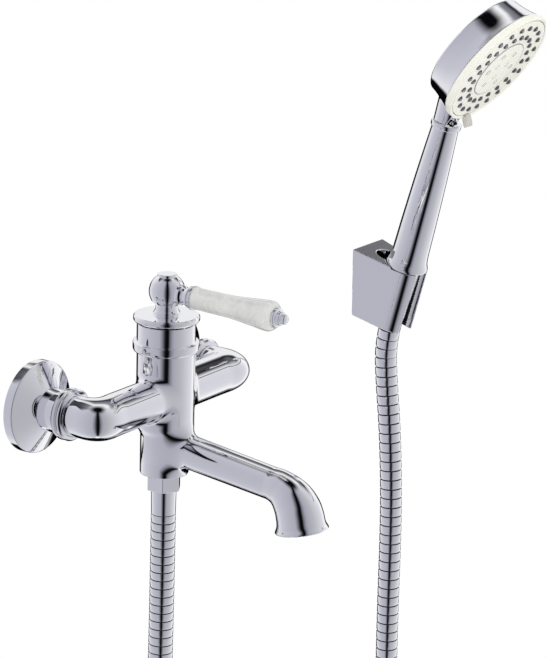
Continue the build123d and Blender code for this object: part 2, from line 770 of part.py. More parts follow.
def centre_disc():
    disc = turned((0, -8), (22.8, -8), (22.8, -5), (CENTRE_R, -5), (CENTRE_R, 0.4, 0.5), (0, 0.8))
    for hole in PolarLocations(15.0, 8):
        disc -= hole * Pos(0, 0, 0) * Box(1.8, 1.8, 4)
    return HEAD * disc


def selector_ring():
    inner = FACE_R + GAP
    ring = turned((inner, -5), (HEAD_R - 0.2, -5), (HEAD_R, -2.2), (HEAD_R, 0.4, 1.8), (inner, 0.4))
    return HEAD * ring


def selector_tab():
    # A thumb tab like a leaf on the ring's lowest point, bent outwards and forwards clear of the neck.
    side_view = Polyline((0, -47.4, 0.4), (0, -50.4, 0.6), (0, -57.2, 7.0), (0, -57.9, 9.8), (0, -56.6, 10.2),
                         (0, -47.4, 2.6), close=True)
    tab = extrude(make_face(side_view), TAB_WIDTH / 2, both=True, dir=(1, 0, 0))
    for out, height in ((53.2, 3.2), (55.1, 5.0), (57.0, 6.8)):
        tab += Pos(0, -out, height) * Box(TAB_WIDTH - 1.4, 1.0, 0.7)
    return HEAD * tab


def hose_cone_nut():
    cone = turned((0, CONE_END), (9.1, CONE_END, 0.6), (11.3, -1.5), (11.3, GAP), (0, GAP))
    cone -= rod(9.8, -13, 1)
    cone -= rod(7.2, CONE_END - 1, -12)
    return SEAT * cone


def hose_washer_handset():
    return SEAT * tube(9.6, 5.0, -10.5, -9)


def hose_ferrule_handset():
    return SEAT * turned((5.0, -10.5), (9.6, -10.5), (9.6, -13), (7.2, -13), (7.2, CONE_END),
                         (8.6, CONE_END), (8.6, HOSE_START), (5.0, HOSE_START))


def hose_route():
    # The free hose hangs in one loop from the tap's outlet to the hand shower. Points chosen by hand.
    top = SEAT.position + LEAN_AXIS * HOSE_START
    return [
        Vector(0, -COLUMN_OUT, FERRULE_BOTTOM),
        Vector(0.0, -COLUMN_OUT, -190),
        Vector(-2.5, -52, -392),
        Vector(3, -49, -592),
        Vector(93, -46, -713),
        Vector(236, -42, -718),
        Vector(332, -37, -600),
        Vector(337.5, -33.5, -424),
        Vector(335.5, -31.5, -282),
        Vector(336, -31.2, -184),
        Vector(336, -27.0, -119),
        Vector(336, -21.7, -77),
        top - LEAN_AXIS * 20,
        top,
    ]


def hose_path(points):
    radii = []
    for before, corner, after in zip(points, points[1:], points[2:]):
        first = corner - before
        second = after - corner
        turn = math.radians(first.get_angle(second))
        radii.append(0.45 * min(first.length, second.length) / math.tan(turn / 2))
    print("hose radii", [round(radius) for radius in radii])
    return FilletPolyline(*points, radius=radii).wire()


def hose():
    # Each rib is a groove and a rounded crest through four circles on a steady X axis.
    path = hose_path(hose_route())
    length = path.length
    pitch = (length - 4 * HOSE_R) / HOSE_RIBS
    rib = ((0.0, HOSE_GROOVE_R), (0.14, HOSE_GROOVE_R), (0.24, HOSE_R), (0.90, HOSE_R))
    stations = [(0.0, HOSE_R)]
    for number in range(HOSE_RIBS):
        for along, radius in rib:
            stations.append((2 * HOSE_R + (number + along) * pitch, radius))
    stations.append((length, HOSE_R))
    circles = []
    for distance, radius in stations:
        share = distance / length
        tangent = path.tangent_at(share)
        across = Vector(0, 1, 0)
        across = (across - tangent * across.dot(tangent)).normalized()
        plane = Plane(origin=path.position_at(share), x_dir=across, z_dir=tangent)
        circles.append(plane * Circle(radius))
    ribbed = loft(circles, ruled=True)
    bore = sweep(Plane(origin=path @ 0, x_dir=(0, 1, 0), z_dir=path % 0) * Circle(HOSE_BORE_R), path=path)
    ribbed -= bore
    section = math.pi * (HOSE_R ** 2 - HOSE_BORE_R ** 2)
    print("hose length", round(length, 1), "wanted", HOSE_LENGTH)
    print("hose volume over section times length", round(ribbed.volume / (section * length), 3))
    return ribbed


NODES = {
    "main_body": main_body,
    "cartridge_body": cartridge_body,
    "cartridge_seals": cartridge_seals,
    "cartridge_nut": cartridge_nut,
    "cartridge_cover": cartridge_cover,
    "ceramic_disc_fixed": ceramic_disc_fixed,
    "ceramic_disc_moving": ceramic_disc_moving,
    "disc_carrier": disc_carrier,
    "cartridge_collar": cartridge_collar,
    "stem_pin": stem_pin,
    "cartridge_stem": cartridge_stem,
    "handle_head": handle_head,
    "top_button": top_button,
    "grub_screw": grub_screw,
    "lever_boss": lever_boss,
    "lever_rod": lever_rod,
    "ceramic_grip": ceramic_grip,
    "lever_finial": lever_finial,
    "aerator_shell": aerator_shell,
    "aerator_insert": aerator_insert,
    "aerator_seal": aerator_seal,
    "shower_nipple": shower_nipple,
    "check_valve": check_valve,
    "diverter_bush": diverter_bush,
    "diverter_seal": diverter_seal,
    "diverter_spindle": diverter_spindle,
    "diverter_disc": diverter_disc,
    "diverter_knob": diverter_knob,
    "hose_nut": hose_nut,
    "hose_washer_tap": hose_washer_tap,
    "hose_ferrule_tap": hose_ferrule_tap,
    "hose": hose,
    "hose_ferrule_handset": hose_ferrule_handset,
    "hose_washer_handset": hose_washer_handset,
    "hose_cone_nut": hose_cone_nut,
    "holder_block": holder_block,
    "holder_plate": holder_plate,
    "holder_grub": holder_grub,
    "handle": handle,
    "neck_ring": neck_ring,
    "head_shell": head_shell,
    "waterway_insert": waterway_insert,
    "face_plate": face_plate,
    "nozzle_mat": nozzle_mat,
    "centre_disc": centre_disc,
    "selector_ring": selector_ring,
    "selector_tab": selector_tab,
}

PAIRED = {
    "wall_flange": wall_flange,
    "wall_union": wall_union,
    "union_nut": union_nut,
    "inlet_nipple": inlet_nipple,
    "union_seal": union_seal,
    "inlet_filter": inlet_filter,
}


def main():
    os.makedirs("parts", exist_ok=True)
    for name, build in NODES.items():
        export_step(build(), f"parts/{name}.step")
    for name, build in PAIRED.items():
        for side, label in ((-1, "left"), (1, "right")):
            export_step(build(side), f"parts/{name}_{label}.step")


main()
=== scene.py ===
import bpy
import bmesh
import math
import numpy as np
from mathutils import Matrix, Vector


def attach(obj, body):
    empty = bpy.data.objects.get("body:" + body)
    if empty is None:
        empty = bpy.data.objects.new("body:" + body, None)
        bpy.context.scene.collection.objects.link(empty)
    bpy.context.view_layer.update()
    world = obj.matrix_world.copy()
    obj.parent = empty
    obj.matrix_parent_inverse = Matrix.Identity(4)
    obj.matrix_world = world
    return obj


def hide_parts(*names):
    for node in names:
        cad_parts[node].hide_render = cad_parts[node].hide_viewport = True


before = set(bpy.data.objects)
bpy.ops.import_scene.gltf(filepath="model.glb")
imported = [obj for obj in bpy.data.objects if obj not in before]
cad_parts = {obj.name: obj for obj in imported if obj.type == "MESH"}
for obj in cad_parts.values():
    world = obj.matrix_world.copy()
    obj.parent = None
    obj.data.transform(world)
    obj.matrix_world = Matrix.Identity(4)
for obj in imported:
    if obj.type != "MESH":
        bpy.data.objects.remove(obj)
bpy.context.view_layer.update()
mm = 0.001
print("frame loaded,", len(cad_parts), "nodes")


def placeAlong(origin, zDir, xDir=(1, 0, 0)):
    # a local frame in millimetres: z runs along zDir
    z = Vector(zDir).normalized()
    x = Vector(xDir).normalized()
    turn = Matrix((x, z.cross(x), z)).transposed().to_4x4()
    return Matrix.Translation(Vector(origin)) @ turn


def fallBy(degrees):
    # a direction out of the wall that falls by so many degrees
    angle = math.radians(degrees)
    return (0, -math.cos(angle), -math.sin(angle))


# places that several pieces share, in millimetres from the wall, midway between the inlets
inletSide = 75.0
columnOut = 54.5
leverHeight = 72.8
leverFall = 1.0
holderX = 336.0
seatAt = (-36.0, 17.0)       # y and z of the seat in which the hand shower stands
lean = math.radians(14.4)    # of the hand shower, away from the wall
headAt = (-109.5, 182.0)     # y and z of the middle of the spray face
headFall = 34.3              # degrees by which the spray face looks down

columnPlace = placeAlong((0, -columnOut, 0), (0, 0, 1))
leverPlace = placeAlong((0, -columnOut, leverHeight), fallBy(leverFall))
seatPlace = placeAlong((holderX, *seatAt), (0, -math.sin(lean), math.cos(lean)))
headPlace = placeAlong((holderX, *headAt), fallBy(headFall))

# the photograph's viewing angle
cameraView = {
    "location": (-1.5717, -1.2097, 0.6204),
    "right": (0.56827, -0.82245, 0.02629),
    "up": (0.21735, 0.18084, 0.95925),
    "lens": 164.4,
    "farthest": 50,
}


def addObject(name, data):
    piece = bpy.data.objects.new(name, data)
    bpy.context.collection.objects.link(piece)
    return piece


def makeCamera(view):
    data = bpy.data.cameras.new("photoCamera")
    data.lens = view["lens"]
    data.clip_end = view["farthest"]
    camera = addObject("photoCamera", data)
    right = Vector(view["right"]).normalized()
    up = Vector(view["up"])
    up = (up - right * up.dot(right)).normalized()
    turn = Matrix((right, up, right.cross(up))).transposed().to_4x4()
    camera.matrix_world = Matrix.Translation(view["location"]) @ turn
    bpy.context.scene.camera = camera
    bpy.context.scene.view_settings.view_transform = "Standard"


makeCamera(cameraView)
print("camera set")


def toLinear(hexText):
    values = [int(hexText[i:i + 2], 16) / 255 for i in (1, 3, 5)]
    return [v / 12.92 if v <= 0.04045 else ((v + 0.055) / 1.055) ** 2.4 for v in values] + [1.0]


def addNode(tree, kind, values=None):
    # a value is a node property, what an input holds, or the node or output that it is linked to
    node = tree.nodes.new(kind)
    for key, value in (values or {}).items():
        if isinstance(value, bpy.types.Node):
            value = value.outputs[0]
        if isinstance(value, bpy.types.NodeSocket):
            tree.links.new(value, node.inputs[key])
        elif isinstance(key, int) or key in node.inputs:
            node.inputs[key].default_value = value
        else:
            setattr(node, key, value)
    return node


def startMaterial(name, settings):
    # the last thing it returns is the place on the object, which patterns follow
    material = bpy.data.materials.new(name)
    material.use_nodes = True
    tree = material.node_tree
    shader = tree.nodes["Principled BSDF"]
    for key, value in settings.items():
        shader.inputs[key].default_value = value
    return material, tree, shader, addNode(tree, "ShaderNodeTexCoord").outputs["Object"]


def metalFinish(name, colour, marks, detail, roughness):
    # marks are counted per metre along x, y and z, and the roughness wanders with them
    material, tree, shader, place = startMaterial(name, {
        "Metallic": 1.0, "Base Color": toLinear(colour)})
    stretch = addNode(tree, "ShaderNodeMapping", {"Scale": marks, "Vector": place})
    grain = addNode(tree, "ShaderNodeTexNoise", {"Scale": 1.0, "Detail": detail, "Vector": stretch})
    rough = addNode(tree, "ShaderNodeMapRange", {
        "To Min": roughness[0], "To Max": roughness[1], "Value": grain})
    tree.links.new(rough.outputs["Result"], shader.inputs["Roughness"])
    return material


def fadeColours(tree, source, darker, colour, low, high):
    tone = addNode(tree, "ShaderNodeValToRGB", {"Fac": source})
    for element, position, tint in zip(tone.color_ramp.elements, (low, high), (darker, colour)):
        element.position = position
        element.color = toLinear(tint)
    return tone.outputs["Color"]


def glazedPorcelain(name):
    # white glazed porcelain with faint grey clouding under a clear glaze
    material, tree, shader, place = startMaterial(name, {
        "Roughness": 0.16, "IOR": 1.52, "Coat Weight": 0.6, "Coat Roughness": 0.05})
    clouds = addNode(tree, "ShaderNodeTexNoise", {"Scale": 60.0, "Detail": 4.0, "Vector": place})
    veins = addNode(tree, "ShaderNodeTexNoise", {
        "Scale": 110.0, "Detail": 5.0, "Distortion": 1.6, "Vector": place})
    both = addNode(tree, "ShaderNodeMath", {"operation": "MULTIPLY", 0: clouds, 1: veins})
    tone = fadeColours(tree, both, "#d5d5d3", "#e2e2e0", 0.18, 0.36)
    tree.links.new(tone, shader.inputs["Base Color"])
    return material


def mouldedPlastic(name, colour, darker, roughness):
    # injection moulded part: even colour, a fine spark-eroded texture of about 0.4 mm
    material, tree, shader, place = startMaterial(name, {"Roughness": roughness, "IOR": 1.49})
    fine = addNode(tree, "ShaderNodeTexNoise", {"Scale": 2500.0, "Detail": 2.0, "Vector": place})
    broad = addNode(tree, "ShaderNodeTexNoise", {"Scale": 40.0, "Detail": 2.0, "Vector": place})
    relief = addNode(tree, "ShaderNodeBump", {"Strength": 0.02, "Distance": 0.0002, "Height": fine})
    tree.links.new(fadeColours(tree, broad, darker, colour, 0.3, 0.6), shader.inputs["Base Color"])
    tree.links.new(relief.outputs["Normal"], shader.inputs["Normal"])
    return material


# chromium plate on polished brass: near mirror, with faint water haze and fine polishing marks
chrome = metalFinish("chromePlate", "#f9f9fb", (45.0, 45.0, 45.0), 3.0, (0.021, 0.056))
# plated zinc with a fine brushed grain, so it reflects softer and darker than the polished parts
brushed = metalFinish("brushedChrome", "#88888e", (40.0, 900.0, 900.0), 2.0, (0.28, 0.42))
# turned or pressed metal without plating, with faint tool marks
brass = metalFinish("turnedBrass", "#c9a45a", (900.0, 900.0, 900.0), 2.0, (0.224, 0.364))
steel = metalFinish("stainlessSteel", "#b9babd", (900.0, 900.0, 900.0), 2.0, (0.2, 0.325))
# near-black metal that paints the shade inside the holder's socket and well
boreShade = metalFinish("paintedBoreShade", "#26262b", (900.0, 900.0, 900.0), 2.0, (0.24, 0.39))
porcelain = glazedPorcelain("glazedPorcelain")
ivoryAbs = mouldedPlastic("ivoryAbs", "#fbfaf1", "#f7f6ea", 0.32)
greySilicone = mouldedPlastic("greySilicone", "#56565a", "#4c4c50", 0.5)
# pale grey on each nozzle's tip: a painted highlight
nozzleTipHighlight = mouldedPlastic("nozzleTipHighlight", "#98989c", "#8c8c90", 0.5)
greyLine = mouldedPlastic("greyInlayLine", "#9a9a9a", "#8f8f90", 0.5)
faintGrey = mouldedPlastic("faintGreyAbs", "#bfbfb6", "#b4b4ab", 0.45)
tabGrey = mouldedPlastic("greyAbs", "#c6c6be", "#b9b9b1", 0.4)
acetal = mouldedPlastic("whiteAcetal", "#e6e5de", "#dddcd4", 0.4)
rubber = mouldedPlastic("blackEpdm", "#26272a", "#202124", 0.7)
# the near-black inner hose, which shows between the turns as painted shade in the seams
linerSeamShade = mouldedPlastic("hoseLinerSeamShade", "#17171a", "#121215", 0.6)
alumina = mouldedPlastic("sinteredAlumina", "#efeee9", "#e7e6e0", 0.2)

# of the CAD nodes, all those that aren't named here are chromed
cadFinish = {
    porcelain: ("ceramic_grip",),
    alumina: ("ceramic_disc_fixed", "ceramic_disc_moving"),
    acetal: ("cartridge_body", "disc_carrier", "cartridge_collar", "aerator_insert", "check_valve",
             "waterway_insert", "holder_plate"),
    rubber: ("cartridge_seals", "aerator_seal", "diverter_seal", "diverter_disc",
             "hose_washer_tap", "hose_washer_handset", "union_seal_left", "union_seal_right"),
    brass: ("cartridge_nut", "cartridge_stem", "shower_nipple", "inlet_nipple_left",
            "inlet_nipple_right", "diverter_spindle"),
    steel: ("stem_pin", "grub_screw", "lever_rod", "holder_grub", "inlet_filter_left",
            "inlet_filter_right"),
    ivoryAbs: ("face_plate", "centre_disc", "selector_ring", "selector_tab"),
    greySilicone: ("nozzle_mat",),
}
finishOf = {name: material for material, names in cadFinish.items() for name in names}
for name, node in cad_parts.items():
    node.data.materials.clear()
    node.data.materials.append(finishOf.get(name, chrome))
print("materials made")


def dress(piece, node=None, body="mixer_and_holder"):
    # the piece takes the place of a CAD node and moves with a body
    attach(piece, body)
    if node:
        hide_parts(node)


roundingShare = 0.48        # the most of a side that one rounding takes up
weldDistance = 0.000002


def roundedOutline(corners, steps=5):
    # corners are (radius, height) or (radius, height, rounding), in millimetres
    outline = []
    for number, corner in enumerate(corners):
        here = Vector(corner[:2])
        if len(corner) < 3 or number in (0, len(corners) - 1):
            outline.append(here)
            continue
        back = Vector(corners[number - 1][:2]) - here
        on = Vector(corners[number + 1][:2]) - here
        half = back.angle(on) / 2
        reach = min(corner[2] / math.tan(half), min(back.length, on.length) * roundingShare)
        radius = reach * math.tan(half)
        back.normalize()
        on.normalize()
        middle = here + (back + on).normalized() * (radius / math.sin(half))
        first = here + back * reach - middle
        sweep = first.angle_signed(here + on * reach - middle)
        for step in range(steps + 1):
            outline.append(middle + Matrix.Rotation(-sweep * step / steps, 2) @ first)
    return outline


def newMesh(name, points, faces, material):
    mesh = bpy.data.meshes.new(name)
    mesh.from_pydata(points, [], faces)
    mesh.materials.append(material)
    return mesh


def gridFaces(rows, width, columns):
    # quads between rows of points; where columns equals width, the last meets the first
    corners = ((0, 0), (0, 1), (1, 1), (1, 0))
    return [tuple((row + on) * width + (column + beside) % width for on, beside in corners)
            for row in range(rows - 1) for column in range(columns)]


def turnPiece(name, corners, place, material, sides=96, steps=5, closed=True, sharp=35):
    # spins an outline about the local z axis
    outline = roundedOutline(corners, steps)
    if closed:
        outline.append(outline[0])
    points = []
    for spot in outline:
        for side in range(sides):
            angle = 2 * math.pi * side / sides
            corner = Vector((spot.x * math.cos(angle), spot.x * math.sin(angle), spot.y))
            points.append(place @ corner * mm)
    mesh = newMesh(name, points, gridFaces(len(outline), sides, sides), material)
    shape = bmesh.new()
    shape.from_mesh(mesh)
    bmesh.ops.remove_doubles(shape, verts=shape.verts, dist=weldDistance)
    bmesh.ops.recalc_face_normals(shape, faces=shape.faces)
    shape.to_mesh(mesh)
    shape.free()
    mesh.shade_smooth()
    mesh.set_sharp_from_angle(angle=math.radians(sharp))
    return addObject(name, mesh)


def treeWithInputs(name, sizes):
    tree = bpy.data.node_groups.new(name, "GeometryNodeTree")
    tree.interface.new_socket("Geometry", in_out="INPUT", socket_type="NodeSocketGeometry")
    for label, (kind, value) in sizes.items():
        socket = tree.interface.new_socket(label, in_out="INPUT", socket_type=kind)
        socket.default_value = value
    tree.interface.new_socket("Geometry", in_out="OUTPUT", socket_type="NodeSocketGeometry")
    return tree


def growMesh(name, tree, carrier, shape, *passes):
    # runs a tree on its carrier, once for each pass, and keeps a plain mesh without the shape
    sockets = {item.name: item.identifier for item in tree.interface.items_tree
               if item.in_out == "INPUT"}
    for given in passes:
        grower = carrier.modifiers.new(name, "NODES")
        grower.node_group = tree
        for label, value in given.items():
            grower[sockets[label]] = value
    grown = carrier.evaluated_get(bpy.context.evaluated_depsgraph_get())
    mesh = bpy.data.meshes.new_from_object(grown)
    mesh.name = name
    bpy.data.objects.remove(shape)
    bpy.data.objects.remove(carrier)
    return mesh


# the shower hose is one free cord from the tap to the hand shower
hoseSpec = {
    "route": (
        (0, -54.5, -85.3), (0, -54.5, -190), (-2.5, -52, -392), (3, -49, -592), (93, -46, -713),
        (236, -42, -718), (332, -37, -600), (337.5, -33.5, -424), (335.5, -31.5, -282),
        (336, -31.2, -184), (336, -27, -119), (336, -21.7, -77), (336, -19.587, -46.93),
        (336, -24.56, -27.557),
    ),
    "length": 1.4994,
    "diameter": 0.0172,
    "pitch": 6.85,       # one interlocked turn of the metal hose, on average
    "closed": 0.87,      # share of that pitch at the tap end, where the hose hangs closed up
    "turn": ((7.4, -0.43), (8.35, -0.43), (8.6, -0.35), (8.6, 0.35), (8.35, 0.43), (7.4, 0.43)),
    "liner": 7.75,
}


def routePoints(spec):
    # the route's own smooth line, read from the spline that follows its points
    data = bpy.data.curves.new("hoseRoute", "CURVE")
    data.dimensions = "3D"
    data.resolution_u = 48
    spline = data.splines.new("NURBS")
    spline.points.add(len(spec["route"]) - 1)
    for point, place in zip(spline.points, spec["route"]):
        point.co = (place[0] * mm, place[1] * mm, place[2] * mm, 1.0)
    spline.order_u = 3
    spline.use_endpoint_u = True
    route = addObject("hoseRoute", data)
    drawn = route.evaluated_get(bpy.context.evaluated_depsgraph_get())
    line = bpy.data.meshes.new_from_object(drawn)
    points = [vertex.co.copy() for vertex in line.vertices]
    bpy.data.meshes.remove(line)
    return route, points


def hoseTree(spec):
    # turns are spaced by a rising share of the route, so the pitch grows from the tap onwards
    tree = treeWithInputs("hoseTurns", {
        "Turns": ("NodeSocketInt", int(round(spec["length"] / (spec["pitch"] * mm)))),
        "Turn": ("NodeSocketObject", None),
        "Metal": ("NodeSocketMaterial", None),
        "Seam Shade Liner": ("NodeSocketMaterial", None),
        "Closed": ("NodeSocketFloat", spec["closed"]),
        "Open": ("NodeSocketFloat", 2 - spec["closed"]),
        "Liner Radius": ("NodeSocketFloat", spec["liner"] * mm)})
    given = addNode(tree, "NodeGroupInput").outputs
    number = addNode(tree, "GeometryNodeInputIndex")
    middle = addNode(tree, "ShaderNodeMath", {"operation": "ADD", 0: number, 1: 0.5})
    share = addNode(tree, "ShaderNodeMath", {
        "operation": "DIVIDE", 0: middle, 1: given["Turns"]})
    slope = addNode(tree, "ShaderNodeMapRange", {
        "Value": share, "To Min": given["Closed"], "To Max": 1.0})
    along = addNode(tree, "ShaderNodeMath", {"operation": "MULTIPLY", 0: share, 1: slope})
    spot = addNode(tree, "GeometryNodeSampleCurve", {
        "mode": "FACTOR", "use_all_curves": True, "Curves": given["Geometry"], "Factor": along})
    spots = addNode(tree, "GeometryNodePoints", {
        "Count": given["Turns"], "Position": spot.outputs["Position"]})
    aim = addNode(tree, "FunctionNodeAlignRotationToVector", {
        "axis": "Z", "Vector": spot.outputs["Tangent"]})
    stretch = addNode(tree, "ShaderNodeMapRange", {
        "Value": share, "To Min": given["Closed"], "To Max": given["Open"]})
    size = addNode(tree, "ShaderNodeCombineXYZ", {"X": 1.0, "Y": 1.0, "Z": stretch})
    turn = addNode(tree, "GeometryNodeObjectInfo", {"Object": given["Turn"]})
    placed = addNode(tree, "GeometryNodeInstanceOnPoints", {
        "Points": spots, "Instance": turn.outputs["Geometry"], "Rotation": aim, "Scale": size})
    real = addNode(tree, "GeometryNodeRealizeInstances", {"Geometry": placed})
    coated = addNode(tree, "GeometryNodeSetMaterial", {
        "Geometry": real, "Material": given["Metal"]})
    # the inner hose; its near-black shows in the gaps between the turns as painted seam shade
    circle = addNode(tree, "GeometryNodeCurvePrimitiveCircle", {
        "Resolution": 20, "Radius": given["Liner Radius"]})
    tube = addNode(tree, "GeometryNodeCurveToMesh", {
        "Fill Caps": True, "Curve": given["Geometry"], "Profile Curve": circle})
    lined = addNode(tree, "GeometryNodeSetMaterial", {
        "Geometry": tube, "Material": given["Seam Shade Liner"]})
    joined = addNode(tree, "GeometryNodeJoinGeometry", {"Geometry": coated})
    tree.links.new(lined.outputs["Geometry"], joined.inputs["Geometry"])
    addNode(tree, "NodeGroupOutput", {"Geometry": joined})
    return tree


def growHose(spec, route):
    section = [(radius, along * spec["pitch"]) for radius, along in spec["turn"]]
    turn = turnPiece("hoseTurn", section, Matrix.Identity(4), chrome, sides=32, sharp=50)
    return addObject("showerHose", growMesh("showerHose", hoseTree(spec), route, turn, {
        "Turn": turn, "Metal": chrome, "Seam Shade Liner": linerSeamShade}))


hoseRoute, hosePoints = routePoints(hoseSpec)
length = sum((b - a).length for a, b in zip(hosePoints, hosePoints[1:]))
print("hose spline", round(length, 4), "m,", len(hosePoints), "points")
showerHose = growHose(hoseSpec, hoseRoute)
dress(showerHose, "hose")
print("hose grown,", len(showerHose.data.polygons), "faces")

# heights in this dictionary are measured out from the wall
wallSide = {
    "flange": ((14.5, 2), (14.5, 14.6), (15.0, 14.6, 0.3), (30.4, 7.0, 0.5), (31.5, 6.4, 0.9),
               (31.5, 0.0), (29.9, 0.0), (29.7, 5.6), (16.6, 11.6), (16.6, 2)),
    "sleeve": ((8.5, 1.2), (14.2, 1.2), (14.2, 14.6), (14.7, 14.7, 0.2), (14.7, 29.9), (8.5, 29.9)),
    "collar": ((7.2, -0.4), (13.3, -0.4, 0.3), (13.3, 1.4), (7.2, 1.4)),
    "tail": {"bore": 7.0, "crest": 10.3, "root": 9.2, "pitch": 1.8, "ends": (-13.9, -0.4),
             "offset": -5.0},
    "nut": ((14.9, 28.0), (16.8, 28.0, 0.5), (17.8, 29.6, 1.3), (17.2, 31.3, 0.6),
            (16.2, 31.95, 0.3), (17.2, 32.6, 0.6), (17.8, 34.3, 1.3), (16.5, 35.9, 0.4),
            (13.6, 35.9), (13.6, 33.4), (14.9, 33.4)),
}


def joinPieces(name, pieces, material):
    mesh = newMesh(name, [], [], material)
    shape = bmesh.new()
    for piece in pieces:
        shape.from_mesh(piece.data)
        bpy.data.objects.remove(piece)
    shape.to_mesh(mesh)
    shape.free()
    return addObject(name, mesh)


def threadOutline(spec):
    # a parallel pipe thread drawn as ridges
    start, end = spec["ends"]
    outline = [(spec["bore"], start), (spec["root"], start)]
    for number in range(int((end - start) / spec["pitch"])):
        foot = start + 0.5 + number * spec["pitch"]
        for radius, share in (("root", 0), ("crest", 0.35), ("crest", 0.5), ("root", 0.85)):
            outline.append((spec[radius], foot + share * spec["pitch"]))
    return outline + [(spec["root"], end), (spec["bore"], end)]


def makeWallSide(side, word):
    inlet = placeAlong((side * inletSide, 0, 0), (0, -1, 0))
    offset = wallSide["tail"]["offset"]
    eccentric = inlet @ Matrix.Translation((0, offset, 0))
    halfway = inlet @ Matrix.Translation((0, offset / 2, 0))
    dress(turnPiece("wallFlange_" + word, wallSide["flange"], inlet, chrome), "wall_flange_" + word)
    union = joinPieces("wallUnion_" + word, (
        turnPiece("sleeve", wallSide["sleeve"], inlet, chrome),
        turnPiece("collar", wallSide["collar"], halfway, chrome, sides=64),
        turnPiece("tail", threadOutline(wallSide["tail"]), eccentric, chrome, sides=64)), chrome)
    dress(union, "wall_union_" + word)
    dress(turnPiece("unionNut_" + word, wallSide["nut"], inlet, chrome), "union_nut_" + word)


makeWallSide(-1, "left")
makeWallSide(1, "right")
print("wall flanges and union nuts turned")

coverSpec = {
    "ring": ((17.6, 31.5), (22.8, 31.5, 2.6), (22.8, 38.65, 2.6), (20.2, 38.65, 0.3),
             (20.2, 51.4, 0.4), (12.0, 53.14), (12.0, 51.0), (17.6, 49.4)),
}
cover = turnPiece("cartridgeCover", coverSpec["ring"], columnPlace, chrome)
dress(cover, "cartridge_cover")


def ballArc(centre, radius, low, high, steps=28):
    # points of a ball's outline from one height to another
    outline = []
    first = math.asin((low - centre) / radius)
    last = math.asin((high - centre) / radius)
    for step in range(steps + 1):
        angle = first + (last - first) * step / steps
        outline.append((radius * math.cos(angle), centre + radius * math.sin(angle)))
    return outline


leverHead = {
    "cap": ((0.0, 56.1), (21.3, 56.1), (21.3, 52.7), (21.8, 52.7, 0.3), (22.7, 53.9, 0.9),
            (22.7, 55.9, 0.9), (21.7, 57.1, 0.3), (8.4, 57.1, 0.9), (9.4, 58.4, 0.9),
            (8.0, 60.6, 0.9), (7.7, 62.0, 1.2)),
    "ball": (73.3, 12.4, 63.6, 83.8),
    "button": ((0, 83.6), (6.6, 83.6), (6.6, 85.4, 0.5), (0, 85.4)),
    "boss": ((2.5, 9.0), (6.6, 9.0), (7.1, 13.2, 1.6), (5.9, 14.8, 0.6), (5.5, 16.2, 1.0),
             (5.9, 18.4, 0.8), (7.4, 19.0, 0.5), (7.7, 20.5, 0.5), (6.7, 21.3, 0.3),
             (8.3, 21.9, 0.6), (8.3, 24.0, 0.5), (2.5, 24.0)),
    "finial": ((2.5, 88.9), (6.7, 88.9, 0.4), (6.7, 91.0, 0.6), (4.7, 91.6, 0.3), (4.7, 94.0, 0.6),
               (3.3, 94.5, 0.3), (3.3, 97.3, 1.0), (1.4, 98.0), (0, 98.0), (0, 97.0), (2.5, 97.0)),
}
headOutline = leverHead["cap"] + tuple(ballArc(*leverHead["ball"])) + ((0, 83.8),)
dress(turnPiece("leverHead", headOutline, columnPlace, chrome, steps=6), "handle_head", "lever")
for name, part, place, node in (("topButton", "button", columnPlace, "top_button"),
                                ("leverBoss", "boss", leverPlace, "lever_boss"),
                                ("leverFinial", "finial", leverPlace, "lever_finial")):
    dress(turnPiece(name, leverHead[part], place, chrome), node, "lever")


def smoothLine(points, steps):
    # a smooth outline through its points, by Catmull-Rom pieces
    line = []
    last = len(points) - 1
    for number in range(last):
        four = [points[min(max(number + ahead, 0), last)] for ahead in (-1, 0, 1, 2)]
        for step in range(steps):
            t = step / steps
            line.append(tuple(0.5 * (2 * b + (c - a) * t + (2 * a - 5 * b + 4 * c - d) * t * t
                                     + (3 * b - a - 3 * c + d) * t ** 3)
                              for a, b, c, d in zip(*four)))
    return line + [points[last]]


gripSpec = {
    "side": ((7.4, 24.0), (7.5, 40.0), (7.8, 55.0), (9.2, 71.0), (10.3, 82.6), (9.7, 86.6),
             (7.3, 88.9)),
    "hole": 2.5,
}
gripOutline = ([(gripSpec["hole"], gripSpec["side"][0][1])] + smoothLine(gripSpec["side"], 8)
               + [(gripSpec["hole"], gripSpec["side"][-1][1])])
grip = turnPiece("ceramicGrip", gripOutline, leverPlace, porcelain, sides=80)
dress(grip, "ceramic_grip", "lever")
print("lever made")


# cast and moulded shapes are a skin drawn round a field of distances, negative inside
def joinRound(a, b, radius):
    reachA = np.maximum(radius - a, 0)
    reachB = np.maximum(radius - b, 0)
    return np.maximum(radius, np.minimum(a, b)) - np.sqrt(reachA ** 2 + reachB ** 2)


def keepBoth(a, b, radius):
    return -joinRound(-a, -b, radius)


def cutAway(a, b, radius):
    return -joinRound(-a, b, radius)


def smoothStep(value, low, high):
    t = np.clip((value - low) / (high - low), 0, 1)
    return t * t * (3 - 2 * t)


def between(pair, share):
    return pair[0] + (pair[1] - pair[0]) * share


def taper(line, at, runsOn=False):
    # a size that goes straight from one (place, size) to the other, and stays there or runs on
    (startAt, start), (endAt, end) = line
    share = (at - startAt) / (endAt - startAt)
    return between((start, end), share if runsOn else np.clip(share, 0, 1))


def seatCoords(x, y, z):
    # sideways, across and along the hand shower's handle, from the seat
    out = y - seatAt[0]
    rise = z - seatAt[1]
    return (x - holderX, out * math.cos(lean) + rise * math.sin(lean),
            rise * math.cos(lean) - out * math.sin(lean))


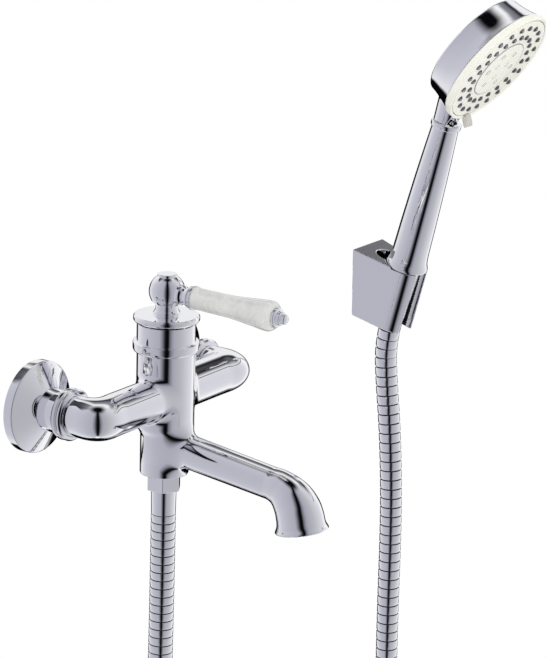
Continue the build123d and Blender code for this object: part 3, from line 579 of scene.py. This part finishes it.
def headCoords(x, y, z):
    # sideways, out of the spray face and up along it, from its middle
    tilt = math.radians(headFall)
    out = y - headAt[0]
    rise = z - headAt[1]
    return (x - holderX, -out * math.cos(tilt) - rise * math.sin(tilt),
            rise * math.cos(tilt) - out * math.sin(tilt))


def fieldSlope(field, points, step=0.05):
    value = field(*points.T)
    slope = np.stack([(field(*(points + shift).T) - field(*(points - shift).T)) / (2 * step)
                      for shift in np.eye(3) * step], 1)
    return value, slope


def skinField(name, field, low, high, cell, material, settle=4, pull=0.9):
    # one vertex in each cell that the surface crosses, then pulled onto it in a few steps
    axes = [np.arange(l, h + cell, cell, dtype=np.float32) for l, h in zip(low, high)]
    x, y, z = np.meshgrid(*axes, indexing="ij", sparse=True)
    values = np.broadcast_to(field(x, y, z), tuple(len(a) for a in axes)).astype(np.float32)
    inside = values < 0
    unit = np.eye(3, dtype=int)
    corners = [(i, j, k) for i in (0, 1) for j in (0, 1) for k in (0, 1)]
    wide, deep, tall = (size - 1 for size in inside.shape)
    count = sum(inside[i:wide + i, j:deep + j, k:tall + k].astype(np.int8) for i, j, k in corners)
    mixed = (count > 0) & (count < 8)
    cells = np.argwhere(mixed)
    index = np.full(mixed.shape, -1, np.int64)
    index[tuple(cells.T)] = np.arange(len(cells))
    total = np.zeros((len(cells), 3))
    crossings = np.zeros(len(cells))
    for corner in corners:
        for axis in range(3):
            if corner[axis]:
                continue
            here = cells + corner
            a = values[tuple(here.T)]
            b = values[tuple((here + unit[axis]).T)]
            hit = (a < 0) != (b < 0)
            share = np.where(hit, a / np.where(hit, a - b, 1), 0)
            total += np.where(hit[:, None], here + share[:, None] * unit[axis], 0)
            crossings += hit
    points = total / crossings[:, None] * cell + np.array([a[0] for a in axes])
    for _ in range(settle):
        value, slope = fieldSlope(field, points)
        points -= slope * (value / np.maximum((slope ** 2).sum(1), 1e-6))[:, None] * pull
    quads = []
    for axis in range(3):
        u, v = (a for a in range(3) if a != axis)
        spots = np.argwhere(np.diff(inside, axis=axis))
        sides = spots[:, (u, v)]
        spots = spots[((sides > 0) & (sides < (mixed.shape[u], mixed.shape[v]))).all(1)]
        ring = np.stack([index[tuple((spots - unit[u] * i - unit[v] * j).T)]
                         for i, j in ((1, 1), (0, 1), (0, 0), (1, 0))], 1)
        starts = inside[tuple(spots.T)]
        turned = starts if axis == 1 else ~starts
        ring[turned] = ring[turned][:, ::-1]
        quads.append(ring)
    quads = np.concatenate(quads)
    quads = quads[(quads >= 0).all(1)]
    mesh = newMesh(name, (points * mm).tolist(), quads.tolist(), material)
    mesh.validate()
    mesh.shade_smooth()
    slope = fieldSlope(field, points)[1]
    normals = slope / np.maximum(np.linalg.norm(slope, axis=1), 1e-9)[:, None]
    mesh.normals_split_custom_set_from_vertices(normals.tolist())
    print(name, "skin", len(quads), "quads")
    return addObject(name, mesh)


castingSpec = {
    "columnRadii": (16.8, 20.0),      # below and above the step
    "step": (-28.2, -19.8),
    "ends": (-55.4, 31.5),
    "footEdge": 0.8,
    "armRadius": 14.4,
    "inletRadius": 13.8,
    "elbowPivot": (56.5, -36.0),
    "elbowInner": (4.7, 4.1),
    "elbowBulge": 7.8,
    "bulgePower": 2.2,                # gathers the bulge at the diagonal
    "armFillet": 5.0,
    "spoutFillet": 9.0,
    "spoutZ": -34.3,
    "spoutFall": 6.3,
    "spoutStraight": 91.1,
    "bendRadius": 25.8,
    "bendTurn": 73.3,
    "bendSlack": 0.2,                 # radians before the bend that still count as in it
    # radii by the way along the spout's centre line, evened out over about 0.9 mm
    "spoutRadii": ((0, 11.8), (46, 11.5), (90.0, 11.2), (99.0, 12.3), (107.6, 14.4), (116.8, 15.9),
                   (125.1, 16.4), (127.6, 16.7), (129.2, 17.7), (130.3, 18.4), (131.6, 18.4),
                   (145, 18.4)),
    "evenOver": 0.9,
    "lip": 6.5,
    "lipEdge": 0.6,
    "mouthBore": (13.0, -4.0),        # its radius and where it ends, from the start of the lip
}


def spoutLine(spec):
    # the centre line falls a little on its way out, then bends down to the lip
    fall = math.radians(spec["spoutFall"])
    end = fall + math.radians(spec["bendTurn"])
    radius = spec["bendRadius"]
    centreY = -columnOut - spec["spoutStraight"] + math.sin(fall) * radius
    centreZ = spec["spoutZ"] - spec["spoutStraight"] * math.tan(fall) - math.cos(fall) * radius
    mouth = (centreY - math.sin(end) * radius, centreZ + math.cos(end) * radius)
    return fall, end, (centreY, centreZ), mouth


def evenRadii(spec, spacing=0.25, reach=12):
    table = np.arange(0, spec["spoutRadii"][-1][0], spacing)
    radii = np.interp(table, *zip(*spec["spoutRadii"]))
    away = np.arange(-reach, reach + 1) * spacing
    bump = np.exp(-away ** 2 / (2 * spec["evenOver"] ** 2))
    return table, np.convolve(np.pad(radii, reach, mode="edge"), bump / bump.sum(), mode="valid")


def castingField(spec):
    pivotX, pivotY = spec["elbowPivot"]
    fall, end, (centreY, centreZ), (mouthY, mouthZ) = spoutLine(spec)
    turn = end - fall
    straight = spec["spoutStraight"] / math.cos(fall)
    lipStart = straight + turn * spec["bendRadius"]
    table, radii = evenRadii(spec)

    def field(x, y, z):
        radius = between(spec["columnRadii"], smoothStep(z, *spec["step"]))
        column = np.hypot(x, y + columnOut) - radius
        column = keepBoth(column, spec["ends"][0] - z, spec["footEdge"])
        column = np.maximum(column, z - spec["ends"][1])

        # arms that end in tight elbows, with their outer side pushed out on the diagonal
        out = np.abs(x) - pivotX
        away = pivotY - y
        arm = np.hypot(y + columnOut, z) - spec["armRadius"]
        angle = np.arctan2(away, out)
        ease = smoothStep(angle, 0, math.pi / 2)
        inner = between(spec["elbowInner"], ease)
        height = between((spec["inletRadius"], spec["armRadius"]), ease)
        bulge = spec["elbowBulge"] * np.abs(np.sin(2 * angle)) ** spec["bulgePower"] * (angle > 0)
        outer = inner + 2 * height + bulge
        middle = (inner + outer) / 2
        wide = (outer - inner) / 2
        ring = ((np.hypot(out, away) - middle) / wide) ** 2 + (z / height) ** 2
        elbow = (np.sqrt(ring) - 1) * height
        pipe = np.where(out > 0, np.maximum(elbow, -away), arm)
        body = joinRound(column, pipe, spec["armFillet"])

        # the spout's straight, bend and lip, each by its own way along and across
        run = -(y + columnOut) * math.cos(fall) - (z - spec["spoutZ"]) * math.sin(fall)
        rise = -(y + columnOut) * math.sin(fall) + (z - spec["spoutZ"]) * math.cos(fall)
        bendAngle = np.arctan2(-(y - centreY), z - centreZ) - fall
        bendRise = np.hypot(y - centreY, z - centreZ) - spec["bendRadius"]
        lipRun = -(y - mouthY) * math.cos(end) - (z - mouthZ) * math.sin(end)
        lipRise = -(y - mouthY) * math.sin(end) + (z - mouthZ) * math.cos(end)
        inBend = (run > straight) & (bendAngle < turn) & (bendAngle > -spec["bendSlack"])
        inLip = (run > straight) & ~inBend
        along = np.where(inBend, straight + bendAngle * spec["bendRadius"], run)
        along = np.where(inLip, lipStart + lipRun, along)
        across = np.hypot(x, np.where(inLip, lipRise, np.where(inBend, bendRise, rise)))
        spout = np.maximum(across - np.interp(along, table, radii), -run)
        spout = keepBoth(spout, along - (lipStart + spec["lip"]), spec["lipEdge"])
        body = joinRound(body, spout, spec["spoutFillet"])
        boreRadius, boreEnd = spec["mouthBore"]
        bore = np.maximum(across - boreRadius, lipStart + boreEnd - along)
        return cutAway(body, np.maximum(bore, straight - along), spec["lipEdge"])
    return field


casting = skinField("mixerCasting", castingField(castingSpec), (-91, -190, -74), (91, -33, 33),
                    0.9, chrome)
dress(casting, "main_body")

nutSpec = {
    "flats": 21.5,
    "corner": 12.4,
    "ends": (-67.5, -55.5),
    "turn": 32.0,
    "edge": 0.35,
    "bevelSlope": (1.6, 0.6, 1.9),    # fall, how far in it starts, and the length that evens it
    "bevelEdge": 0.3,
}


def nutField(spec):
    middle = (spec["ends"][0] + spec["ends"][1]) / 2
    tall = (spec["ends"][1] - spec["ends"][0]) / 2
    slope, start, even = spec["bevelSlope"]

    def field(x, y, z):
        out = y + columnOut
        across = np.full(np.broadcast(x, y, z).shape, -1e3)
        for number in range(6):
            angle = math.radians(spec["turn"] + 30 + 60 * number)
            flat = x * math.cos(angle) + out * math.sin(angle) - spec["flats"] / 2
            across = keepBoth(across, flat, spec["edge"])
        ends = np.abs(z - middle) - tall
        bevel = (np.hypot(x, out) - spec["corner"] + ends * slope + start) / even
        return keepBoth(keepBoth(across, ends, spec["edge"]), bevel, spec["bevelEdge"])
    return field


hoseNut = skinField("hoseNut", nutField(nutSpec), (-13.5, -68.5, -69), (13.5, -40.5, -54.5),
                    0.5, chrome)
dress(hoseNut, "hose_nut")

mouthPlace = placeAlong((0, *spoutLine(castingSpec)[3]),
                        fallBy(castingSpec["spoutFall"] + castingSpec["bendTurn"]))
fittings = {
    "aerator_shell": (((11.2, -3.0), (12.9, -3.0), (12.9, 5.6), (10.6, 5.6, 0.3), (10.6, 4.3),
                       (11.2, 4.3)), chrome),
    "aerator_insert": (((0, 1.0), (11.1, 1.0), (11.1, 4.2), (9.6, 4.2), (9.4, 2.4), (8.4, 2.4),
                        (8.2, 4.0), (6.8, 4.0), (6.6, 2.4), (5.6, 2.4), (5.4, 4.0), (4.0, 4.0),
                        (3.8, 2.4), (2.8, 2.4), (2.6, 4.0), (0, 4.0)), acetal),
    "aerator_seal": (((10.5, -3.9), (12.7, -3.9), (12.7, -3.1), (10.5, -3.1)), rubber),
}
for node, (corners, material) in fittings.items():
    piece = turnPiece("mouth_" + node, corners, mouthPlace, material, sides=64,
                      closed=corners[0][0] > 0)
    dress(piece, node)

knobSpec = {
    "height": -46.5,
    "side": ((0, 19.05), (5.2, 19.05), (5.2, 21.0, 0.4), (6.6, 22.0, 0.5), (6.6, 29.4, 1.2),
             (0, 30.7)),
}
knobPlace = placeAlong((0, -columnOut, knobSpec["height"]), (1, 0, 0), (0, 1, 0))
knob = turnPiece("diverterKnob", knobSpec["side"], knobPlace, chrome, sides=72, closed=False)
dress(knob, "diverter_knob", "diverter")

holderSpec = {
    "frontRadius": 16.4,
    "sideNormal": (0.9922, -0.1246),
    "top": 29.0,
    "bottom": -24.3,
    "slope": 16.5,
    "edge": 1.2,
    "boreEdge": 0.5,
    "seatCut": 17.0,
    "seatEdge": 0.4,
    "socket": ((-42.0, 9.6), (1.0, 11.7)),
    "slot": ((-60.0, 9.2), (5.0, 6.8)),
    "well": (-19.3, 9.5, 10.0),             # y, radius and floor
    "pocket": (13.0, 2.0, 19.0, 4.0),       # half width, middle, half height and depth
    # where the socket and well are painted with shade
    "shadedBores": {"socket": 12.3, "wellRadius": 9.7, "wellTop": 21.5},
    "brushed": {"rise": 0.93, "above": 12.0},
}


def holderField(spec):
    tilt = math.radians(spec["slope"])

    def field(x, y, z):
        side, across, along = seatCoords(x, y, z)
        away = np.hypot(side, across)
        nx, ny = spec["sideNormal"]
        flat = np.abs(side) * nx + across * ny
        block = np.where(np.abs(side) * -ny + across * nx < 0, away, flat) - spec["frontRadius"]
        slope = y * math.tan(tilt)
        block = keepBoth(block, (z - spec["top"] - slope) * math.cos(tilt), spec["edge"])
        block = keepBoth(block, -(z - spec["bottom"] - slope) * math.cos(tilt), spec["edge"])
        block = np.maximum(block, y)
        block = cutAway(block, away - taper(spec["socket"], along), spec["boreEdge"])
        block = cutAway(block, np.maximum(away - spec["seatCut"], -along), spec["seatEdge"])
        gap = np.maximum(np.abs(side) - taper(spec["slot"], along, runsOn=True), across)
        block = cutAway(block, gap, spec["boreEdge"])
        wellY, wellR, wellZ = spec["well"]
        well = np.maximum(np.hypot(side, y - wellY) - wellR, wellZ - z)
        block = cutAway(block, well, spec["seatEdge"])
        halfWide, middle, halfTall, depth = spec["pocket"]
        pocket = np.maximum(np.abs(side) - halfWide, np.abs(z - middle) - halfTall)
        return np.maximum(block, -np.maximum(pocket, -depth - y))
    return field


def finishHolder(piece, spec):
    # the socket and well get near-black metal as painted shade, and the top face keeps its brushed
    # grain
    piece.data.materials.append(brushed)
    piece.data.materials.append(boreShade)
    shadedBores, grained = spec["shadedBores"], spec["brushed"]
    for face in piece.data.polygons:
        spot = face.center / mm
        inSeat = seatPlace.inverted() @ spot
        fromWell = math.hypot(spot.x - holderX, spot.y - spec["well"][0])
        inWell = fromWell < shadedBores["wellRadius"] and spot.z < shadedBores["wellTop"]
        if math.hypot(inSeat.x, inSeat.y) < shadedBores["socket"] or inWell:
            face.material_index = 2
        elif face.normal.z > grained["rise"] and spot.z > grained["above"]:
            face.material_index = 1


holder = skinField("holderBlock", holderField(holderSpec), (313, -56, -46), (359, 1.5, 31),
                   0.6, chrome)
finishHolder(holder, holderSpec)
dress(holder, "holder_block")
print("casting, nut and holder skinned")

handsetSpec = {
    "handle": ((16.3, 1.1), (16.25, 2.4), (15.7, 4.2), (14.95, 6.6), (14.45, 10.5), (14.1, 18.0),
               (13.6, 40.0), (12.3, 80.0), (10.45, 118.0)),
    "foot": [(0, 0.3), (15.6, 0.3), (16.1, 0.6)],
    "neckRing": ((8.0, 118.0), (11.7, 118.0, 1.3), (11.7, 123.0, 1.3), (8.0, 123.0)),
    "ferruleTap": ((5.0, -67.0), (8.8, -67.0), (8.8, -68.0, 0.3), (8.5, -85.3, 0.4), (5.0, -85.3)),
    "coneNut": ((7.2, -42.0), (9.1, -42.0, 0.6), (11.3, -1.5), (11.3, 0.3), (7.2, 0.3)),
}
handleTop = (0, handsetSpec["handle"][-1][1])
handleOutline = handsetSpec["foot"] + smoothLine(handsetSpec["handle"], 14) + [handleTop]
for name, corners, node in (("showerHandle", handleOutline, "handle"),
                            ("neckRing", handsetSpec["neckRing"], "neck_ring"),
                            ("coneNut", handsetSpec["coneNut"], "hose_cone_nut")):
    dress(turnPiece(name, corners, seatPlace, chrome), node, "handset")
ferrule = turnPiece("tapFerrule", handsetSpec["ferruleTap"], columnPlace, chrome)
dress(ferrule, "hose_ferrule_tap")
print("hand shower handle turned")

headSpec = {
    "side": ((-40.0, 44.0), (-27.5, 44.3), (-22.0, 44.8), (-15.0, 46.1), (-10.0, 47.5),
             (-5.3, 49.2), (0.0, 51.2)),
    "back": (-31.0, 3.5, 2.5),       # where its middle lies, how much it domes, and how fast
    "backRadius": 44.3,
    "backEdge": 1.3,
    "even": (0.975, 0.97),           # of the side and the back, which turn slopes into distances
    "front": -5.3,
    "frontEdge": 0.3,
    "bore": (42.6, -25.5),
    "neck": ((123.0, 10.4), (145.0, 11.0)),
    "neckFillet": 4.0,
    "neckBore": 6.0,
}


def headField(spec):
    sideLine = smoothLine([corner[::-1] for corner in spec["side"]], 12)
    radii, heights = zip(*sideLine)
    middle, dome, power = spec["back"]
    sideEven, backEven = spec["even"]
    boreRadius, boreStart = spec["bore"]
    neckLow, neckHigh = spec["neck"][0][0], spec["neck"][1][0]

    def field(x, y, z):
        side, along, up = headCoords(x, y, z)
        away = np.hypot(side, up)
        rim = (away - np.interp(along, heights, radii)) * sideEven
        back = (middle + dome * (away / spec["backRadius"]) ** power - along) * backEven
        drum = keepBoth(rim, back, spec["backEdge"])
        _, across, reach = seatCoords(x, y, z)
        neckAway = np.hypot(side, across)
        neck = np.maximum(neckAway - taper(spec["neck"], reach),
                          np.maximum(neckLow - reach, reach - neckHigh))
        body = joinRound(drum, neck, spec["neckFillet"])
        body = keepBoth(body, along - spec["front"], spec["frontEdge"])
        body = np.maximum(body, -np.maximum(away - boreRadius, boreStart - along))
        return np.maximum(body, -np.maximum(neckAway - spec["neckBore"], reach - neckHigh))
    return field


headShell = skinField("headShell", headField(headSpec), (285, -144, 128), (387, -54, 243),
                      0.75, chrome)
dress(headShell, "head_shell", "handset")

# the head's turned and repeated pieces; heights run out of the spray face
sprayFace = {
    "ring": ((47.1, -5.0), (49.4, -5.0), (49.6, -2.2), (49.6, 0.4, 1.8), (48.4, 0.4, 0.8),
             (47.1, 0.05, 0.1)),
    "plate": ((24.9, -5.0), (43.2, -5.0), (43.2, -8.0), (46.2, -8.0), (46.2, -5.0), (46.5, -5.0),
              (46.5, 0.0, 0.3), (24.9, 0.0)),
    "disc": ((0, -8.0), (22.8, -8.0), (22.8, -5.0), (24.3, -5.0), (24.3, 0.35), (16.0, 0.55, 20),
             (0, 0.8)),
    "line": ((24.3, -1.0), (24.95, -1.0), (24.95, 0.3, 0.1), (24.3, 0.42, 0.1)),
    "nozzle": ((0, -1.0), (2.4, -1.0), (2.4, 0.15, 0.1), (2.2, 0.3, 0.2), (1.5, 1.25, 0.3),
               (0, 1.25)),
    "tip": ((0, 1.1), (1.35, 1.1), (1.2, 1.6, 0.2), (0.5, 1.6), (0.45, 1.45), (0, 1.45)),
    "outlet": ((1.75, -0.4), (2.15, -0.4), (2.15, 0.16), (1.75, 0.16)),
    "rings": ((40.2, 22, 84.5), (31.3, 21, 89.1)),       # radius, how many, and the first's angle
    "outlets": ((15.8, 6, 60.0), (7.4, 3, 30.0)),
    "outletHeight": 0.62,
    "lean": 20.0,        # the nozzles fan outwards
}


def ringTree(name, lean, height):
    # adds one small shape repeated round a circle, leaning outwards
    tree = treeWithInputs(name, {
        "Shape": ("NodeSocketObject", None), "Finish": ("NodeSocketMaterial", None),
        "Lean": ("NodeSocketFloat", math.radians(lean)),
        "Height": ("NodeSocketFloat", height * mm), "Radius": ("NodeSocketFloat", 0.01),
        "Count": ("NodeSocketInt", 6), "Start": ("NodeSocketFloat", 0.0)})
    given = addNode(tree, "NodeGroupInput").outputs
    shape = addNode(tree, "GeometryNodeObjectInfo", {"Object": given["Shape"]})
    lift = addNode(tree, "ShaderNodeCombineXYZ", {"Z": given["Height"]})
    place = addNode(tree, "GeometryNodeInputPosition")
    flat = addNode(tree, "ShaderNodeVectorMath", {"operation": "MULTIPLY", 0: place, 1: (1, 1, 0)})
    outward = addNode(tree, "ShaderNodeVectorMath", {"operation": "NORMALIZE", 0: flat})
    slope = addNode(tree, "ShaderNodeMath", {"operation": "TANGENT", 0: given["Lean"]})
    spread = addNode(tree, "ShaderNodeVectorMath", {
        "operation": "SCALE", 0: outward, "Scale": slope})
    aim = addNode(tree, "ShaderNodeVectorMath", {"operation": "ADD", 0: spread, 1: (0, 0, 1)})
    turned = addNode(tree, "FunctionNodeAlignRotationToVector", {"axis": "Z", "Vector": aim})
    circle = addNode(tree, "GeometryNodeMeshCircle", {
        "Vertices": given["Count"], "Radius": given["Radius"]})
    spin = addNode(tree, "ShaderNodeCombineXYZ", {"Z": given["Start"]})
    spun = addNode(tree, "GeometryNodeTransform", {
        "Geometry": circle, "Rotation": spin, "Translation": lift})
    placed = addNode(tree, "GeometryNodeInstanceOnPoints", {
        "Points": spun, "Instance": shape.outputs["Geometry"], "Rotation": turned})
    joined = addNode(tree, "GeometryNodeJoinGeometry", {"Geometry": placed})
    tree.links.new(given["Geometry"], joined.inputs["Geometry"])
    real = addNode(tree, "GeometryNodeRealizeInstances", {"Geometry": joined})
    coated = addNode(tree, "GeometryNodeSetMaterial", {
        "Geometry": real, "Material": given["Finish"]})
    addNode(tree, "NodeGroupOutput", {"Geometry": coated})
    return tree


def growRings(name, part, rings, material, lean, height):
    shape = turnPiece(name + "Shape", sprayFace[part], Matrix.Identity(4), material, sides=14,
                      steps=2, sharp=40)
    carrier = addObject(name + "Carrier", bpy.data.meshes.new(name + "Carrier"))
    mesh = growMesh(name, ringTree(name, lean, height), carrier, shape, *[
        {"Shape": shape, "Finish": material, "Radius": radius * mm, "Count": count,
         "Start": math.radians(start)} for radius, count, start in sprayFace[rings]])
    inMetres = headPlace.copy()
    inMetres.translation = headPlace.translation * mm
    mesh.transform(inMetres)
    return addObject(name, mesh)


for name, part, finish, sides, node, body in (
        ("selectorRing", "ring", ivoryAbs, 160, "selector_ring", "selector"),
        ("facePlate", "plate", ivoryAbs, 160, "face_plate", "handset"),
        ("centreDisc", "disc", ivoryAbs, 128, "centre_disc", "handset"),
        ("centreLine", "line", greyLine, 128, None, "handset")):
    dress(turnPiece(name, sprayFace[part], headPlace, finish, sides=sides), node, body)
for name, part, rings, finish, fan, height, node in (
        ("sprayNozzles", "nozzle", "rings", greySilicone, sprayFace["lean"], 0, "nozzle_mat"),
        # the nozzle tips' pale grey is a painted highlight
        ("nozzleTips", "tip", "rings", nozzleTipHighlight, sprayFace["lean"], 0, None),
        ("centreOutlets", "outlet", "outlets", faintGrey, 0, sprayFace["outletHeight"], None)):
    dress(growRings(name, part, rings, finish, fan, height), node, "handset")

tabSpec = {
    "side": ((-45.2, 0.35), (-49.4, 0.35), (-52.4, 4.4), (-53.2, 6.6), (-52.0, 7.3), (-50.2, 6.6),
             (-45.2, 1.7)),
    "width": ((-46.0, 6.4), (-53.0, 10.4)),
    "edge": 0.55,
    "ribs": ((-50.3, 1.6), (-51.4, 3.1), (-52.5, 4.7)),
    "ribRadius": 0.6,
    "ribHalf": 2.6,
    "ribFillet": 0.25,
}


def tabField(spec):
    edge = spec["edge"]
    corners = spec["side"]

    def field(x, y, z):
        side, along, up = headCoords(x, y, z)
        near = np.full(np.broadcast(up, along).shape, 1e6)
        sign = np.ones(near.shape)
        for (ax, ay), (bx, by) in zip(corners, corners[1:] + corners[:1]):
            ex, ey = bx - ax, by - ay
            wx, wy = up - ax, along - ay
            share = np.clip((wx * ex + wy * ey) / (ex * ex + ey * ey), 0, 1)
            near = np.minimum(near, (wx - ex * share) ** 2 + (wy - ey * share) ** 2)
            above = wy >= 0
            below = along < by
            left = ex * wy > ey * wx
            sign = np.where((above & below & left) | (~above & ~below & ~left), -sign, sign)
        flat = sign * np.sqrt(near) + edge
        wide = np.abs(side) - taper(spec["width"], up) / 2 + edge
        body = (np.hypot(np.maximum(flat, 0), np.maximum(wide, 0))
                + np.minimum(np.maximum(flat, wide), 0) - edge)
        past = np.maximum(np.abs(side) - spec["ribHalf"], 0)
        for ribUp, ribAlong in spec["ribs"]:
            rib = np.hypot(np.hypot(up - ribUp, along - ribAlong), past) - spec["ribRadius"]
            body = joinRound(body, rib, spec["ribFillet"])
        return body
    return field


selectorTab = skinField("selectorTab", tabField(tabSpec), (329.5, -98, 128), (342.5, -76, 150),
                        0.3, tabGrey)
dress(selectorTab, "selector_tab", "selector")
print("spray head made")

# a light tent with a dark slit towards the camera, dark cloth behind the object, bars overhead
studioPlace = {"middle": (0.12, -0.06, 0.0), "facing": (-1.5717, -1.155)}
cameraTurn = math.degrees(math.atan2(studioPlace["facing"][1], studioPlace["facing"][0]))
# turns are degrees right of the camera, soft is the share of a card that fades at its left,
# right, lower and upper edge, and tones run over turns (X) or over the share of the height (Y)
studioCards = {
    "tent": {"turns": (-180, 180), "rises": (-85, 90), "soft": (0, 0, 0, 0), "radius": 6.0,
             "run": "X", "tones": (
                 (-180, "#f0f0f2"), (-145, "#f0f0f2"), (-128, "#e4e4ea"), (-96, "#c8c8d2"),
                 (-60, "#b9b9c5"), (-26, "#aeaeba"), (-16, "#84848e"), (-8, "#3c3c42"),
                 (-3, "#0c0c0e"), (5, "#060607"), (9, "#26262a"), (12, "#66666f"),
                 (20, "#90909c"), (28, "#a8a8b4"), (60, "#bababf"), (92, "#d0d0d8"),
                 (114, "#dedee4"), (132, "#fbfbfc"), (170, "#f0f0f2"))},
    "topFlag": {"turns": (-180, 180), "rises": (61, 90), "soft": (0, 0, 0.72, 0), "radius": 5.2,
                "run": "Y", "tones": ((0.0, "#08080a"), (1.0, "#08080a"))},
    "backCloth": {"turns": (138, 226), "rises": (-80, 8), "soft": (0.12, 0.12, 0.05, 0.12),
                  "radius": 5.4, "run": "Y", "tones": ((0.0, "#060607"), (1.0, "#060607"))},
    "rearBar": {"turns": (100, 202), "rises": (27.5, 62), "soft": (0.3, 0.15, 0.25, 0.3),
                "radius": 5.4, "run": "Y",
                "tones": ((0.0, "#303036"), (0.3, "#26262a"), (0.5, "#74747c"), (1.0, "#a0a0a8"))},
    "rearLine": {"turns": (100, 150), "rises": (25.2, 27.2), "soft": (0.1, 0.2, 0.1, 0.1),
                 "radius": 5.3, "run": "Y", "tones": ((0.0, "#101012"), (1.0, "#101012"))},
    "sideBar": {"turns": (-160, -84), "rises": (45, 74), "soft": (0.15, 0.3, 0.03, 0.4),
                "radius": 5.5, "run": "Y",
                "tones": ((0.0, "#2a2a32"), (0.35, "#5a5a62"), (1.0, "#a4a4aa"))},
}


def cardMesh(name, card, material, steps=48):
    # a patch of a sphere, with a UV map for its tones and soft edges
    shares = [step / steps for step in range(steps + 1)]
    spots = [(u, v) for v in shares for u in shares]
    points = []
    for u, v in spots:
        turn = math.radians(cameraTurn + between(card["turns"], u))
        rise = math.radians(between(card["rises"], v))
        flat = math.cos(rise)
        ray = Vector((flat * math.cos(turn), flat * math.sin(turn), math.sin(rise)))
        points.append(ray * card["radius"])
    mesh = newMesh(name, points, gridFaces(steps + 1, steps + 1, steps), material)
    layer = mesh.uv_layers.new(name="UVMap")
    for loop in mesh.loops:
        layer.data[loop.index].uv = spots[loop.vertex_index]
    return mesh


def makeCard(name, card):
    material = bpy.data.materials.new(name)
    material.use_nodes = True
    tree = material.node_tree
    tree.nodes.clear()
    spot = addNode(tree, "ShaderNodeUVMap")
    parts = addNode(tree, "ShaderNodeSeparateXYZ", {"Vector": spot}).outputs
    mask = 1.0
    for axis, start, end, soft in zip("XXYY", (0, 1, 0, 1), (1, 0, 1, 0), card["soft"]):
        if soft:
            edge = addNode(tree, "ShaderNodeMapRange", {
                "From Min": start, "From Max": start + (end - start) * soft,
                "interpolation_type": "SMOOTHSTEP", "Value": parts[axis]})
            mask = addNode(tree, "ShaderNodeMath", {"operation": "MULTIPLY", 0: mask, 1: edge})
    tone = addNode(tree, "ShaderNodeValToRGB", {"Fac": parts[card["run"]]})
    ramp = tone.color_ramp.elements
    while len(ramp) < len(card["tones"]):
        ramp.new(0.5)
    for element, (position, colour) in zip(ramp, card["tones"]):
        element.position = (position + 180) / 360 if card["run"] == "X" else position
        element.color = toLinear(colour)
    glow = addNode(tree, "ShaderNodeEmission", {"Strength": 1.0, "Color": tone})
    clear = addNode(tree, "ShaderNodeBsdfTransparent")
    both = addNode(tree, "ShaderNodeMixShader", {"Fac": mask, 1: clear, 2: glow})
    addNode(tree, "ShaderNodeOutputMaterial", {"Surface": both})
    piece = addObject(name, cardMesh(name, card, material))
    piece.location = studioPlace["middle"]
    piece.visible_camera = False
    piece.visible_diffuse = False
    piece.visible_shadow = False
    piece.visible_transmission = False


for name, card in studioCards.items():
    makeCard(name, card)


def makeWorld(strength):
    # the camera, gloss and glass see plain white, and the object is lit a little below that
    world = bpy.data.worlds.new("whiteStudio")
    bpy.context.scene.world = world
    world.use_nodes = True
    tree = world.node_tree
    tree.nodes.clear()
    path = addNode(tree, "ShaderNodeLightPath").outputs
    seen = 0.0
    for ray in ("Is Camera Ray", "Is Glossy Ray", "Is Transmission Ray"):
        seen = addNode(tree, "ShaderNodeMath", {"operation": "MAXIMUM", 0: seen, 1: path[ray]})
    white = toLinear("#ffffff")
    light = addNode(tree, "ShaderNodeBackground", {"Color": white, "Strength": strength})
    shown = addNode(tree, "ShaderNodeBackground", {"Color": white, "Strength": 1.0})
    both = addNode(tree, "ShaderNodeMixShader", {"Fac": seen, 1: light, 2: shown})
    addNode(tree, "ShaderNodeOutputWorld", {"Surface": both})


makeWorld(0.85)

lampSpec = {
    "keyLamp": {"place": (-1.1, -1.9, 1.7), "watts": 12.0, "size": 1.2},
    "fillLamp": {"place": (1.6, -1.6, 0.9), "watts": 5.0, "size": 1.2},
}
lampAim = Vector((0.15, -0.05, 0.0))
for name, spec in lampSpec.items():
    data = bpy.data.lights.new(name, "AREA")
    data.energy = spec["watts"]
    data.size = spec["size"]
    lamp = addObject(name, data)
    lamp.location = spec["place"]
    lamp.rotation_mode = "QUATERNION"
    lamp.rotation_quaternion = (lampAim - Vector(spec["place"])).to_track_quat("-Z", "Y")
    lamp.visible_glossy = False

floorSpec = {
    "height": -0.76,
    "size": 12.0,
    "middle": (0.17, -0.05),
    "colour": "#f4f4f2",
    "fade": (0.75, 1.15),      # distances between which the floor turns to the white background
}


def makeFloor(spec):
    half = spec["size"] / 2
    sides = ((-half, -half), (half, -half), (half, half), (-half, half))
    corners = [(*corner, spec["height"]) for corner in sides]
    material, tree, shader, place = startMaterial("studioFloor", {
        "Base Color": toLinear(spec["colour"]), "Roughness": 0.9})
    away = addNode(tree, "ShaderNodeVectorMath", {
        "operation": "DISTANCE", 0: place, 1: (*spec["middle"], spec["height"])})
    far = addNode(tree, "ShaderNodeMapRange", {
        "From Min": spec["fade"][0], "From Max": spec["fade"][1],
        "interpolation_type": "SMOOTHSTEP", "Value": away.outputs["Value"]})
    white = addNode(tree, "ShaderNodeEmission", {"Color": toLinear("#ffffff"), "Strength": 1.0})
    both = addNode(tree, "ShaderNodeMixShader", {"Fac": far, 1: shader, 2: white})
    tree.links.new(both.outputs["Shader"], tree.nodes["Material Output"].inputs["Surface"])
    floor = addObject("studioFloor", newMesh("studioFloor", corners, [(0, 1, 2, 3)], material))
    floor.visible_glossy = False


makeFloor(floorSpec)
print("studio set")
